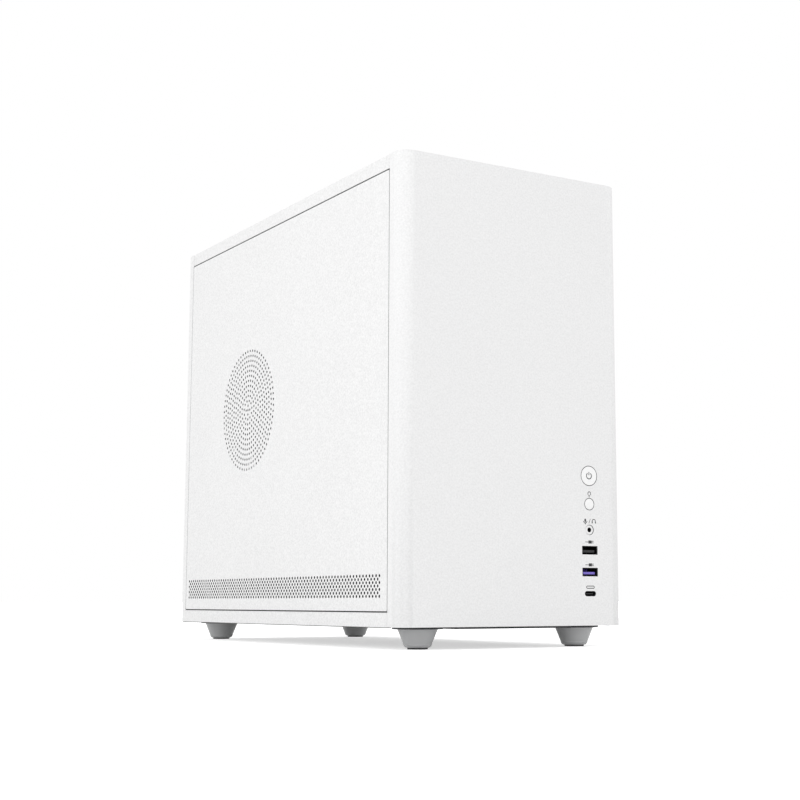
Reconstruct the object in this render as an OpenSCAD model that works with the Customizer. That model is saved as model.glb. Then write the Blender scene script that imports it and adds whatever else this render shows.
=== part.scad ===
// Desktop computer tower. Millimetres, +Z up, front face towards -Y.
// The origin is the middle of the whole object's floor plan, on the surface that the feet stand on.

/* [Body] */
// Width across the two side panels
body_w = 196; // [194:1:220]
// Depth from the front face to the rear face
body_d = 398; // [394:1:430]
// Height without the feet
body_h = 340; // [338:1:380]
// Thickness of the chassis sheet
sheet_t = 1; // [0.8:0.1:1.2]
// Height of the base pan's side strip
base_strip_h = 10.15; // [9:0.05:11]
// Height of the top cover's side strip
top_strip_h = 10.75; // [9:0.05:11]
// Width of the rear corner strip seen from the side
rear_strip_d = 8; // [6:0.5:10]
// How far the rails behind the side strips reach inwards
rail_d = 16; // [15.5:0.1:16.5]
// Distance from the right side face to the board tray
cable_space = 17; // [17:0.5:19]
// Gap between pieces that come apart
fit_gap = 0.3; // [0.2:0.05:0.4]

/* [Side panels] */
// Thickness of a side panel's sheet
panel_t = 0.6; // [0.5:0.1:1]
// Gap above and below a side panel
panel_gap = 1; // [0.8:0.1:1.4]
// Gap at a side panel's front and rear edges
panel_end_gap = 0.5; // [0.3:0.1:0.8]
// Radius of a side panel's corners
panel_corner_r = 1.5; // [0.5:0.25:3]
// Depth of the flange folded round a side panel
panel_flange = 8; // [6:0.5:8.5]
// Diameter of a vent hole
hole_d = 2.2; // [1.6:0.1:2.3]
// Rings of holes in the round vent
vent_rings = 12; // [4:1:12]
// Radius of the round vent's innermost ring
vent_first_r = 3.73; // [3.2:0.01:5]
// Distance between the round vent's rings, and between the holes of a ring
vent_pitch = 4.27; // [3.6:0.01:4.3]
// Distance between the holes of the outermost ring
vent_rim_pitch = 4.83; // [4:0.01:6]
// Round vent's centre, from the rear face
vent_from_rear = 138; // [100:1:200]
// Round vent's centre, from the underside
vent_z = 179; // [120:1:220]
// Rows of holes in the low vent band
band_rows = 7; // [3:1:7]
// Distance between the band's rows
band_row_pitch = 2.41; // [2.39:0.01:2.6]
// Distance between holes in a row
band_pitch = 4.84; // [4.8:0.02:6]
// From the panel's front edge to the band's first hole
band_margin = 10.9; // [8:0.1:16]
// Least distance from the band's last hole to the panel's rear edge
band_rear_margin = 7; // [5:0.5:16]
// Height of the band's lowest row
band_z = 21.5; // [20:0.5:26]
// Diameter of a panel stud's ball
ball_d = 5; // [4:0.5:5.5]
// Diameter of a panel stud's neck
stud_neck_d = 3; // [2:0.5:3.5]
// Thickness of a panel stud's foot disc
stud_foot_t = 1.5; // [1:0.25:2]
// From a panel's front and rear edges to its studs
stud_inset = 26; // [22:1:40]
// Size of a clip socket along the rail
clip_len = 12; // [10:0.5:16]
// Height of a clip socket
clip_h = 12; // [10:0.5:14]

/* [Front panel] */
// Depth of the front panel
front_d = 17.2; // [17:0.1:20]
// Radius of its upright edges
front_corner_r = 11; // [6:0.5:13]
// Thickness of its face and sides
front_wall = 2.4; // [2:0.1:3]
// Thickness of its top and bottom
front_end_wall = 2; // [1.6:0.1:3]
// Diameter of the pegs that hold it on
peg_d = 4.4; // [3.5:0.1:5]
// Diameter of a peg's shoulder
peg_shoulder_d = 8; // [7:0.5:9]
// Length of a peg's tip past the front frame
peg_tip = 4; // [2:0.5:8]
// From the front frame's side edges to its upper and middle pegs
peg_inset = 8; // [7:0.5:9]
// From the front frame's side edges to its lower pegs
low_peg_inset = 42; // [40:1:50]
// From the top and the bottom of the front panel to its pegs
peg_end_inset = 25; // [20:1:30]
// Width of an intake slot in the front panel's underside
intake_slot_w = 5; // [3:0.5:6]
// Distance between the intake slots
intake_pitch = 9; // [8:0.5:12]
// Length of the intake slots
intake_len = 9; // [5:0.5:10]

/* [Front controls] */
// From the right side face to the column of controls
control_inset = 32; // [30:0.5:36]
// Height of the power button
power_z = 111.5; // [108:0.5:130]
// Opening for the power button
power_d = 15.2; // [12:0.1:16]
// Height of the light button
light_z = 90.2; // [88:0.1:95]
// Opening for the light button
light_d = 9.2; // [8:0.1:10]
// Gap round a button
button_gap = 0.4; // [0.2:0.05:0.4]
// Free travel of a button before it meets its switch
button_travel = 1.3; // [1:0.1:1.6]
// Width of the lip that keeps a button in
button_lip = 1.3; // [1:0.1:1.6]
// Thickness of a button's lip
button_lip_t = 1; // [0.8:0.1:1.4]
// Wall of a button's sleeve
sleeve_wall = 1.4; // [1:0.1:1.6]
// Side of a push switch
switch_w = 6; // [5:0.5:7]
// Height of a push switch's body
switch_h = 3.5; // [3:0.1:4]
// Height of a push switch's plunger
plunger_h = 1; // [0.6:0.1:1.4]
// Diameter of a push switch's plunger
plunger_d = 3.4; // [3:0.1:4]
// Thickness of the port board
port_board_t = 1.6; // [1.2:0.2:2]
// Thickness of the bracket behind the port board
bracket_t = 1.5; // [1:0.1:2]
// Width of the port board
port_board_w = 20; // [18:0.5:22]
// Height of the audio jack
jack_z = 70.9; // [70:0.1:74]
// Diameter of the audio jack's barrel
jack_d = 7; // [6:0.1:8]
// Bore of the audio jack
jack_bore_d = 3.6; // [3.5:0.05:3.7]
// Side of the audio jack's body
jack_body_w = 8; // [8:0.5:9]
// Height of the upper USB port
usb2_z = 55.7; // [54:0.1:58]
// Height of the lower USB port
usb3_z = 39.5; // [38:0.1:42]
// Width of a USB-A shell
usb_w = 13.1; // [13:0.05:13.3]
// Height of a USB-A shell
usb_h = 5.7; // [5.6:0.05:5.9]
// Thickness of a port's shell
usb_shell_t = 0.35; // [0.3:0.05:0.4]
// Thickness of a USB-A tongue
usb_tongue_t = 1.7; // [1.7:0.1:2]
// Gap under a USB-A tongue
usb_tongue_gap = 0.9; // [0.7:0.1:1.1]
// Height of the USB-C port
usbc_z = 23.5; // [22:0.1:26]
// Width of the USB-C shell
usbc_w = 9.1; // [8.9:0.05:9.3]
// Height of the USB-C shell
usbc_h = 3.2; // [3.1:0.05:3.4]
// Thickness of the USB-C tongue
usbc_tongue_t = 0.7; // [0.6:0.05:0.8]
// Gap round a port in the front panel
port_gap = 0.3; // [0.2:0.05:0.4]
// Gap at the two ends of a USB port in the front panel
port_end_gap = 0.6; // [0.3:0.05:0.8]

/* [Feet] */
// From the side faces to a foot's centre
foot_inset_x = 29.2; // [26:0.2:36]
// From the front face to a front foot's centre
foot_inset_front = 25; // [23:0.5:40]
// From the rear face to a rear foot's centre
foot_inset_rear = 22.9; // [22.9:0.5:40]
// Height of the feet
foot_h = 15.6; // [14:0.1:24]
// Diameter of the washer above a foot
washer_d = 36.5; // [34:0.5:40]
// Thickness of the washer
washer_t = 1.5; // [1:0.1:2]
// Diameter of a foot at its top
foot_top_d = 28.8; // [26:0.2:32]
// Diameter of a foot where its lower edge is rounded
foot_low_d = 20.6; // [19:0.2:24]
// Radius of a foot's lower edge
foot_edge_r = 3; // [1:0.25:3.5]
// Diameter of the rubber pad
pad_d = 14.6; // [12:0.2:14.8]
// Thickness of the rubber pad
pad_t = 1; // [0.8:0.1:2]
// Diameter of the screw through a foot
foot_screw_d = 5; // [4:0.5:6]

/* [Dust filter] */
// Length of the dust filter
filter_len = 232; // [180:2:260]
// Thickness of the dust filter
filter_t = 1.2; // [1:0.1:1.5]
// Gap above the dust filter
filter_gap = 0.2; // [0.1:0.1:0.4]
// From the front face to the dust filter
filter_inset = 2.5; // [1:0.5:6]
// Width of the filter's solid border
filter_border = 6; // [4:0.5:10]
// Width of a filter window
filter_window = 12; // [8:1:20]
// Width of the bars between filter windows
filter_bar = 1.6; // [1:0.2:3]

/* [Board] */
// Height and depth of the motherboard
board_size = 244; // [240:0.5:244]
// Thickness of the motherboard
board_t = 1.6; // [1.4:0.1:1.8]
// Height of the standoffs
standoff_h = 6.5; // [6:0.1:7]
// Diameter of the standoffs
standoff_d = 6; // [5:0.5:7]
// Thread diameter of the board screws
board_screw_d = 3; // [2.8:0.1:3.2]
// Gap between the board and the base pan
board_floor_gap = 5; // [4:0.5:5]
// Gap between the board and the rear panel
board_rear_gap = 1.5; // [1.4:0.1:2]
// Width of the rear port opening
io_w = 44.45; // [44:0.05:45]
// Height of the rear port opening
io_h = 158.75; // [158:0.05:159]
// Distance between expansion slots
slot_pitch = 20.32; // [20:0.02:20.4]
// Number of expansion slots
slot_count = 4; // [2:1:4]
// Width of a slot opening
slot_open_w = 13; // [12:0.5:15]
// Width of a slot cover
slot_cover_w = 18.4; // [18:0.1:19]
// Length of a slot cover
slot_cover_l = 114; // [112:1:116]
// Thickness of a slot cover
slot_cover_t = 1; // [0.8:0.1:1.2]
// Side of the processor
cpu_w = 37.5; // [35:0.5:40]
// Thickness of the processor
cpu_t = 4; // [3:0.5:5]
// Side of the processor socket
socket_w = 50; // [48:1:54]
// Height of the processor socket
socket_h = 4; // [3:0.5:5]
// Length of a memory slot
memory_slot_l = 141; // [139:0.5:141]
// Width of a memory slot
memory_slot_w = 7; // [6.5:0.1:7.5]
// Height of a memory slot
memory_slot_h = 8; // [7:0.5:9]
// Distance between the memory slots
memory_pitch = 10; // [9.5:0.5:11]
// Length of a memory module
memory_l = 133.35; // [133:0.05:133.5]
// Height of a memory module
memory_h = 31.25; // [30:0.25:34]
// Thickness of a memory module's board
memory_t = 1.3; // [1.1:0.1:1.4]
// Length of the solid-state stick
stick_l = 80; // [60:1:80]
// Width of the solid-state stick
stick_w = 22; // [21:0.5:22]

/* [Cooling] */
// Side of the front fan
front_fan_w = 120; // [116:1:120]
// Hole spacing of the front fan
front_fan_pitch = 105; // [103:0.5:106]
// Height of the front fan's centre
front_fan_z = 160; // [140:5:170]
// Side of the rear and cooler fans
small_fan_w = 92; // [90:1:94]
// Hole spacing of the rear and cooler fans
small_fan_pitch = 82.5; // [80.5:0.5:83]
// Thickness of every fan
fan_t = 25; // [24:0.5:26]
// Thinnest wall of a fan's frame
fan_wall = 2.5; // [2:0.1:3]
// Gap between the blades and the frame
blade_gap = 1.2; // [0.8:0.1:2]
// Diameter of a fan's hub
hub_d = 38; // [34:1:40]
// Diameter of a fan's shaft
shaft_d = 3; // [2.5:0.5:4]
// Running clearance of a fan's shaft, on the radius
shaft_gap = 0.05; // [0.03:0.01:0.08]
// Number of blades
blade_count = 9; // [5:1:11]
// Height of the heat sink's fins
fin_h = 32; // [24:1:34]
// Thickness of a heat sink's fin
fin_t = 0.8; // [0.6:0.1:1.2]
// Distance between fins
fin_pitch = 3.4; // [3:0.1:4]
// Side of the heat sink
sink_w = 84; // [76:1:88]
// Thickness of the heat sink's base
sink_base_t = 6; // [5:0.5:8]

/* [Power supply] */
// Width of the power supply
psu_w = 150; // [149:0.5:150]
// Height of the power supply
psu_h = 86; // [85:0.5:86]
// Depth of the power supply
psu_d = 140; // [130:1:150]
// Thickness of its case
psu_sheet_t = 1; // [0.8:0.1:1.2]
// Gap between the power supply and the board tray
psu_gap = 8; // [7:0.5:9]
// Side of its fan
psu_fan_w = 120; // [116:1:120]
// Hole spacing of its fan
psu_fan_pitch = 105; // [103:0.5:106]
// Width of the mains inlet
inlet_w = 27; // [26:0.5:28]
// Height of the mains inlet
inlet_h = 20; // [19:0.5:21]
// Depth of the mains inlet
inlet_d = 19; // [18:0.5:22]
// Width of the inlet's socket
inlet_mouth_w = 24; // [23.5:0.1:24.5]
// Height of the inlet's socket
inlet_mouth_h = 16.5; // [16:0.1:17]
// Width of the rocker switch
rocker_w = 13; // [12:0.5:14]
// Height of the rocker switch
rocker_h = 18; // [17:0.5:19]
// Angle of the rocker switch at rest
rocker_tilt = 8; // [6:0.5:10]
// Pivot diameter of the rocker switch
rocker_pin_d = 2; // [1.5:0.1:2.4]

/* [Drives] */
// Width of the hard drive
drive_w = 101.6; // [100:0.1:102]
// Length of the hard drive
drive_l = 147; // [145:0.5:147]
// Height of the hard drive
drive_h = 26.1; // [20:0.1:27]
// Depth of the drive cage
cage_l = 150; // [140:1:155]
// Height of the drive cage
cage_h = 41; // [38:0.5:46]
// From the front frame to the drive cage
cage_from_frame = 26; // [20:1:30]

/* [Hidden] */
$fn = 48;
over = 0.1;                      // how far a cut runs past a face

// Vertical and depth levels, in the case's own axes: x from the middle, y from the
// front face, z from the underside
chassis_y = front_d + fit_gap;
rear_y = body_d - sheet_t;
inner_top_z = body_h - sheet_t;
tray_x = body_w / 2 - cable_space;
board_face_x = tray_x - sheet_t - standoff_h - board_t;
board_rear_y = rear_y - board_rear_gap;
board_low_z = sheet_t + board_floor_gap;
board_top_z = board_low_z + board_size;

// Side panels
panel_y0 = front_d + panel_end_gap;
panel_y1 = body_d - rear_strip_d - panel_end_gap;
panel_z0 = base_strip_h + panel_gap;
panel_z1 = body_h - top_strip_h - panel_gap;
vent_y = body_d - vent_from_rear;
clip_face = panel_t + panel_flange + fit_gap;        // from the side face to a clip socket
clip_d = rail_d - clip_face;
ball_x = clip_face + clip_d / 2;
stud_ys = [panel_y0 + stud_inset, panel_y1 - stud_inset];
stud_zs = [base_strip_h + clip_h / 2, body_h - top_strip_h - clip_h / 2];

// Front controls
control_x = body_w / 2 - control_inset;
bracket_y = chassis_y - bracket_t;
port_board_y = bracket_y - port_board_t;
plunger_y = port_board_y - switch_h - plunger_h;
button_end_y = plunger_y - button_travel - 0.1;
sleeve_end_y = button_end_y - button_lip_t - fit_gap;
port_board_z0 = usbc_z - 10;
port_board_z1 = power_z + 9;
frame_half_w = body_w / 2 - rail_d;
pegs = [for (side = [-1, 1]) each [
    [side * (frame_half_w - peg_inset), body_h - peg_end_inset],
    [side * (frame_half_w - peg_inset), body_h / 2],
    [side * (frame_half_w - low_peg_inset), peg_end_inset]]];

// Feet
foot_x = body_w / 2 - foot_inset_x;
foot_ys = [foot_inset_front, body_d - foot_inset_rear];
foot_screw_head_h = 2;

// Power supply
psu_x0 = tray_x - sheet_t - psu_gap - psu_w;
psu_y0 = rear_y - psu_d;
psu_z0 = inner_top_z - psu_h;
psu_mid_x = psu_x0 + psu_w / 2;
psu_mid_z = psu_z0 + psu_h / 2;
psu_screws = [[-69, 37], [69, 37], [-69, -27], [45, -37]];
psu_lip = 5;                     // rear panel left standing round the power supply
inlet_at = [psu_w / 2 - 28, psu_h / 2 - 20];
rocker_at = [psu_w / 2 - 55, psu_h / 2 - 20];
rocker_frame = 2.5;
psu_fan_y = psu_y0 + psu_d / 2 - 4;
psu_lead = [psu_mid_x + 30, psu_z0 + 40];
lead_hole_d = 22;

// Board layout: u from the board's rear edge, v from its top edge
board_hole_us = [10.16, 165.1, 237.49];
board_hole_vs = [16.51, 173.99, 219.71];
cpu_u = 85;
cpu_v = 72;
memory_u = 141;
memory_v = 8 + memory_slot_l / 2;
slot_v = io_h + 10.5;
cpu_stack_h = socket_h + cpu_t;
sink_h = sink_base_t + fin_h;
io_x1 = board_face_x + 3.8;
io_z1 = board_top_z + 1;
port_depth = 20;                 // how far the rear ports reach over the board
shield_t = 0.8;
cover_x1 = board_face_x + 3;
rear_fan_x = cover_x1 - slot_cover_l + small_fan_w / 2 - 36;
rear_fan_z = (io_z1 - io_h + psu_z0) / 2;
front_fan_x = tray_x - 25 - front_fan_w / 2;

// Drive cage
cage_x = psu_mid_x;
cage_y = chassis_y + sheet_t + cage_from_frame;
cage_w = drive_w + 2 * sheet_t;

// Whole object: the heads of the rear screws are its furthest faces
rear_head_h = 2;
origin_y = (body_d + rear_head_h) / 2;

white = [0.93, 0.93, 0.92];
steel = [0.72, 0.73, 0.74];
black = [0.06, 0.06, 0.065];
dark = [0.15, 0.15, 0.16];
brass = [0.78, 0.62, 0.3];

// ---------------------------------------------------------------- helpers

// Puts the case's own axes in the object's frame
module in_case() {
    translate([0, -origin_y, foot_h]) children();
}

// A box from its lowest corner to its highest
module block(low, high) {
    translate(low) cube(high - low);
}

// Turns a shape that stands on Z so that it points along +Y or +X
module along_y(at) {
    translate(at) rotate([-90, 0, 0]) children();
}

module along_x(at) {
    translate(at) rotate([0, 90, 0]) children();
}

// A sheet of an (x, z) outline whose front face is at y, or of a (y, z) outline from x
module sheet_xz(y, t) {
    translate([0, y + t, 0]) rotate([90, 0, 0]) linear_extrude(t) children();
}

module sheet_yz(x, t) {
    translate([x, 0, 0]) rotate([90, 0, 90]) linear_extrude(t) children();
}

// A flat rectangle between two corners
module rect(low, high) {
    translate(low) square(high - low);
}

// A flat rectangle with round corners
module round_rect(low, high, r) {
    rect([low[0] + r, low[1]], [high[0] - r, high[1]]);
    rect([low[0], low[1] + r], [high[0], high[1] - r]);
    for (x = [low[0] + r, high[0] - r], y = [low[1] + r, high[1] - r]) translate([x, y]) circle(r);
}

// Centres of the four corners of a square pattern
function corners(pitch) = [for (i = [-1, 1], k = [-1, 1]) [i * pitch / 2, k * pitch / 2]];

// Round holes in rings, 6 more in each ring, about the middle
module ring_holes(rings, pitch, d, fn) {
    circle(d = d, $fn = fn);
    for (n = [1 : rings], k = [0 : 6 * n - 1])
        rotate(60 * k / n) translate([n * pitch, 0]) circle(d = d, $fn = fn);
}

// A screw with its head on z = 0 and its shank down to -length
module screw(head_d, head_h, d, length) {
    cylinder(d = head_d, h = head_h);
    translate([0, 0, -length]) cylinder(d = d, h = length + head_h / 2);
}

// Places children on the motherboard's face: local Z points away from it, u runs from the
// rear edge and v down from the top edge
module on_board(u, v) {
    translate([board_face_x, board_rear_y - u, board_top_z - v]) rotate([0, -90, 0]) children();
}

// A box on the board, centred on (u, v), with its size along v and u and its height
module board_block(u, v, size_v, size_u, h, lift = 0) {
    on_board(u, v) translate([-size_v / 2, -size_u / 2, lift]) cube([size_v, size_u, h]);
}

// A tube of radius r along the points of a route, closed at both ends
function unit(v) = v / norm(v);
function tangent(p, i) = unit(p[min(i + 1, len(p) - 1)] - p[max(i - 1, 0)]);
function smooth_route(p, steps) = [for (i = [0 : len(p) - 2], s = [0 : steps - 1])
    let (t = s / steps, a = p[max(i - 1, 0)], b = p[i], c = p[i + 1], d = p[min(i + 2, len(p) - 1)])
    0.5 * ((2 * b) + (c - a) * t + (2 * a - 5 * b + 4 * c - d) * t * t
        + (3 * b - a - 3 * c + d) * t * t * t), p[len(p) - 1]];
function side_of(t, before) = unit(before - t * (before * t));
function side_list(p, i = 0, before = [0.3, 0.5, 0.81]) = i >= len(p) ? [] :
    let (s = side_of(tangent(p, i), before)) concat([s], side_list(p, i + 1, s));

module tube(route, r, sides = 8) {
    side = side_list(route);
    rings = [for (i = [0 : len(route) - 1], k = [0 : sides - 1])
        let (t = tangent(route, i), a = 360 * k / sides)
        route[i] + r * (side[i] * cos(a) + cross(t, side[i]) * sin(a))];
    last = len(route) - 1;
    walls = [for (i = [0 : last - 1], k = [0 : sides - 1])
        let (n = (k + 1) % sides)
        [i * sides + k, i * sides + n, (i + 1) * sides + n, (i + 1) * sides + k]];
    caps = [[for (k = [sides - 1 : -1 : 0]) k], [for (k = [0 : sides - 1]) last * sides + k]];
    polyhedron(rings, [for (f = concat(walls, caps)) [for (j = [len(f) - 1 : -1 : 0]) f[j]]]);
}

// ---------------------------------------------------------------- chassis

// The base pan's folded sheet, on z = 0: the flat, and on each side a strip with a shelf
// behind it. The top cover is the same sheet upside down
module rails_and_sheet(strip_h) {
    y1 = body_d - rear_strip_d - fit_gap;
    block([-body_w / 2, chassis_y, 0], [body_w / 2, y1, sheet_t]);
    block([-body_w / 2 + sheet_t, chassis_y, 0], [body_w / 2 - sheet_t, rear_y, sheet_t]);
    for (side = [0, 1]) mirror([side, 0, 0]) {
        block([-body_w / 2, chassis_y, 0], [-body_w / 2 + sheet_t, y1, strip_h]);
        block([-body_w / 2, chassis_y, strip_h - sheet_t], [-body_w / 2 + rail_d, y1, strip_h]);
    }
}

air_slot_l = 34;
air_slot_w = 6;
air_slot_pitch = 12;

module base_pan() in_case() color(white) difference() {
    rails_and_sheet(base_strip_h);
    for (x = [-foot_x, foot_x], y = foot_ys)
        translate([x, y, -over]) cylinder(d = foot_screw_d + 2 * fit_gap, h = sheet_t + 2 * over);
    // Air slots over the dust filter
    slot_area = filter_len - 2 * filter_border - 30;
    for (x = [-1, 1], k = [0 : floor(slot_area / air_slot_pitch)])
        translate([x * 22 - air_slot_l / 2, filter_inset + filter_border + 24 + air_slot_pitch * k, -over])
            cube([air_slot_l, air_slot_w, sheet_t + 2 * over]);
}

module top_cover() in_case() color(white) translate([0, 0, body_h]) mirror([0, 0, 1])
    rails_and_sheet(top_strip_h);

// Screw ledge beside the expansion slots, and the slots' middle heights
slot_zs = [for (k = [0 : slot_count - 1]) board_top_z - slot_v - k * slot_pitch];
cover_x0 = cover_x1 - slot_cover_l;
ledge_y = rear_y - 14;

module rear_panel() in_case() color(white) {
    difference() {
        union() {
            block([-body_w / 2, rear_y, 0], [body_w / 2, body_d, body_h]);
            for (side = [0, 1]) mirror([side, 0, 0])
                block([-body_w / 2, body_d - rear_strip_d, 0],
                    [-body_w / 2 + sheet_t, body_d, body_h]);
        }
        sheet_xz(rear_y - over, sheet_t + 2 * over) rear_cuts();
    }
    // Ledge for the slot covers' screws
    difference() {
        block([cover_x0 - sheet_t - slot_cover_t, ledge_y, slot_zs[slot_count - 1] - slot_pitch / 2],
            [cover_x0 - slot_cover_t, rear_y, slot_zs[0] + slot_pitch / 2]);
        for (z = slot_zs) along_x([cover_x0 - sheet_t - slot_cover_t - over, ledge_y + 6, z])
            cylinder(d = board_screw_d + 2 * fit_gap, h = sheet_t + 2 * over);
    }
    // Ledges that carry the power supply
    for (x = [psu_x0 + 8, psu_x0 + psu_w - 28])
        block([x, rear_y - 12, psu_z0 - sheet_t], [x + 20, rear_y, psu_z0]);
}

// Everything cut from the rear panel, as an (x, z) outline
module rear_cuts() {
    rect([io_x1 - io_w, io_z1 - io_h], [io_x1, io_z1]);
    for (z = slot_zs) rect([cover_x0 + 8, z - slot_open_w / 2], [cover_x1 - 6, z + slot_open_w / 2]);
    difference() {
        rect([psu_x0 + psu_lip, psu_z0 + psu_lip], [psu_x0 + psu_w - psu_lip, psu_z0 + psu_h - psu_lip]);
        translate([psu_mid_x, psu_mid_z]) for (p = psu_screws) translate(p) circle(d = 13);
    }
    translate([psu_mid_x, psu_mid_z]) for (p = psu_screws) translate(p) circle(d = 4.2);
    translate([rear_fan_x, rear_fan_z]) {
        ring_holes(6, 6.3, 4.8, 24);
        for (p = corners(small_fan_pitch)) translate(p) circle(d = 4.6);
    }
}

module front_frame() in_case() color(white) sheet_xz(chassis_y, sheet_t) difference() {
    rect([-frame_half_w, sheet_t], [frame_half_w, inner_top_z]);
    translate([front_fan_x, front_fan_z]) {
        circle(d = front_fan_w - 2 * fan_wall, $fn = 96);
        for (p = corners(front_fan_pitch)) translate(p) circle(d = 4.6);
    }
    lead_window();
    for (p = pegs) translate(p) circle(d = peg_d + 2 * fit_gap);
}

// Window for the port board's lead, in the front frame and in the port board's bracket
module lead_window() {
    rect([control_x - 5, usb2_z - 4], [control_x + 5, jack_z + 4]);
}

module board_tray() in_case() color(white) difference() {
    sheet_yz(tray_x - sheet_t, sheet_t) difference() {
        rect([chassis_y + sheet_t, sheet_t], [rear_y, inner_top_z]);
        // Cut-out behind the processor and two cable openings
        translate([board_rear_y - cpu_u, board_top_z - cpu_v]) round_rect([-38, -38], [38, 38], 6);
        for (z = [60, 150]) translate([chassis_y + 92, z]) round_rect([0, 0], [22, 56], 8);
    }
    for (u = board_hole_us, v = board_hole_vs) on_board(u, v)
        translate([0, 0, -board_t - standoff_h - sheet_t - over]) cylinder(d = 3.4, h = sheet_t + 2 * over);
}

// Sockets on the rails that grip the side panels' ball studs
module panel_clips() in_case() color(dark) for (side = [0, 1]) mirror([side, 0, 0])
    for (y = stud_ys, z = stud_zs) difference() {
        block([-body_w / 2 + clip_face, y - clip_len / 2, z - clip_h / 2],
            [-body_w / 2 + rail_d, y + clip_len / 2, z + clip_h / 2]);
        along_x([-body_w / 2, y, z]) cylinder(d = ball_d + 2 * fit_gap, h = rail_d + over);
    }

// ---------------------------------------------------------------- feet

module at_feet() {
    for (x = [-foot_x, foot_x], y = foot_ys) translate([x, y, 0]) children();
}

// Half outline of a foot: a taper that ends in a round lower edge, hollow for its screw
foot_z1 = -washer_t;
foot_z0 = -foot_h + pad_t;
foot_bore_r = foot_screw_d / 2 + fit_gap;
foot_well_r = foot_screw_d;
foot_floor = 4;                  // thickness of a foot over its screw well
foot_outline = concat(
    [[foot_bore_r, foot_z1], [foot_top_d / 2, foot_z1]],
    [for (a = [0 : 15 : 90])
        [foot_low_d / 2 - foot_edge_r * (1 - cos(a)), foot_z0 + foot_edge_r * (1 - sin(a))]],
    [[foot_well_r, foot_z0], [foot_well_r, foot_z1 - foot_floor], [foot_bore_r, foot_z1 - foot_floor]]);

module feet() in_case() color([0.55, 0.56, 0.57]) at_feet() rotate_extrude() polygon(foot_outline);

module foot_washers() in_case() color(black) at_feet() translate([0, 0, -washer_t]) difference() {
    cylinder(d = washer_d, h = washer_t);
    translate([0, 0, -over]) cylinder(r = foot_bore_r, h = washer_t + 2 * over);
}

module foot_pads() in_case() color(black) at_feet() translate([0, 0, -foot_h])
    cylinder(d = pad_d, h = pad_t);

module dust_filter() in_case() color(black) {
    filter_w = 2 * foot_x - washer_d - 2;
    inner_w = filter_w - 2 * filter_border;
    inner_l = filter_len - 2 * filter_border;
    across = floor(inner_w / filter_window);
    along = floor(inner_l / filter_window);
    translate([0, filter_inset, -filter_gap - filter_t]) linear_extrude(filter_t) difference() {
        rect([-filter_w / 2, 0], [filter_w / 2, filter_len]);
        for (i = [0 : across - 1], k = [0 : along - 1])
            translate([-inner_w / 2 + inner_w / across * (i + 0.5),
                filter_border + inner_l / along * (k + 0.5)])
                square([inner_w / across - filter_bar, inner_l / along - filter_bar], center = true);
    }
}

// ---------------------------------------------------------------- removable panels

module panel_vents() {
    translate([vent_y, vent_z]) round_vent();
    band_vents();
}

// One hole in the middle, four round it, and wider rings that take as many holes as fit at
// the pitch. Every ring has a hole straight below the middle
module round_vent() {
    circle(d = hole_d, $fn = 24);
    for (n = [1 : vent_rings]) {
        r = vent_first_r + (n - 1) * vent_pitch;
        spacing = n < vent_rings ? vent_pitch : vent_rim_pitch;
        count = n == 1 ? 4 : floor(2 * PI * r / spacing);
        for (k = [0 : count - 1]) rotate(360 * k / count) translate([0, -r]) circle(d = hole_d, $fn = 24);
    }
}

// Staggered rows: every second row starts half a pitch later and has one hole fewer
module band_vents() {
    band_y0 = panel_y0 + band_margin;
    last = floor((panel_y1 - band_rear_margin - band_y0) / band_pitch);
    for (row = [0 : band_rows - 1], k = [0 : last - row % 2])
        translate([band_y0 + (k + (row % 2) / 2) * band_pitch, band_z + row * band_row_pitch])
            circle(d = hole_d, $fn = 24);
}

// A left-hand side panel: sheet, folded flange all round; its vents are its children
module side_panel() {
    x0 = -body_w / 2;
    sheet_yz(x0, panel_t) difference() {
        round_rect([panel_y0, panel_z0], [panel_y1, panel_z1], panel_corner_r);
        children();
    }
    sheet_yz(x0 + panel_t, panel_flange) difference() {
        round_rect([panel_y0, panel_z0], [panel_y1, panel_z1], panel_corner_r);
        round_rect([panel_y0 + panel_t, panel_z0 + panel_t], [panel_y1 - panel_t, panel_z1 - panel_t],
            max(panel_corner_r - panel_t, 0.1));
    }
}

module left_side_panel() in_case() color(white) side_panel() panel_vents();

module right_side_panel() in_case() color(white) mirror([1, 0, 0]) side_panel() band_vents();

// Ball studs inside a left-hand side panel
module panel_studs() {
    for (y = stud_ys, z = stud_zs) along_x([-body_w / 2 + panel_t, y, z]) {
        cylinder(d = ball_d + 3, h = stud_foot_t);
        cylinder(d = stud_neck_d, h = ball_x - panel_t);
        translate([0, 0, ball_x - panel_t]) sphere(d = ball_d);
    }
}

module left_panel_studs() in_case() color(steel) panel_studs();

module right_panel_studs() in_case() color(steel) mirror([1, 0, 0]) panel_studs();

// Plan of the front panel, w wide and d deep, with its face on y = 0
module front_outline(w, d, r) {
    rect([-w / 2, r], [w / 2, d]);
    rect([-w / 2 + r, 0], [w / 2 - r, d]);
    for (x = [-w / 2 + r, w / 2 - r]) intersection() {
        translate([x, r]) circle(r, $fn = 96);
        rect([-w / 2, 0], [w / 2, r + 1]);
    }
}

// A slot with round ends, along x, in an (x, z) outline
module slot_outline(w, h) {
    square([w - h, h], center = true);
    for (x = [-1, 1]) translate([x * (w - h) / 2, 0]) circle(d = h, $fn = 32);
}

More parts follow.
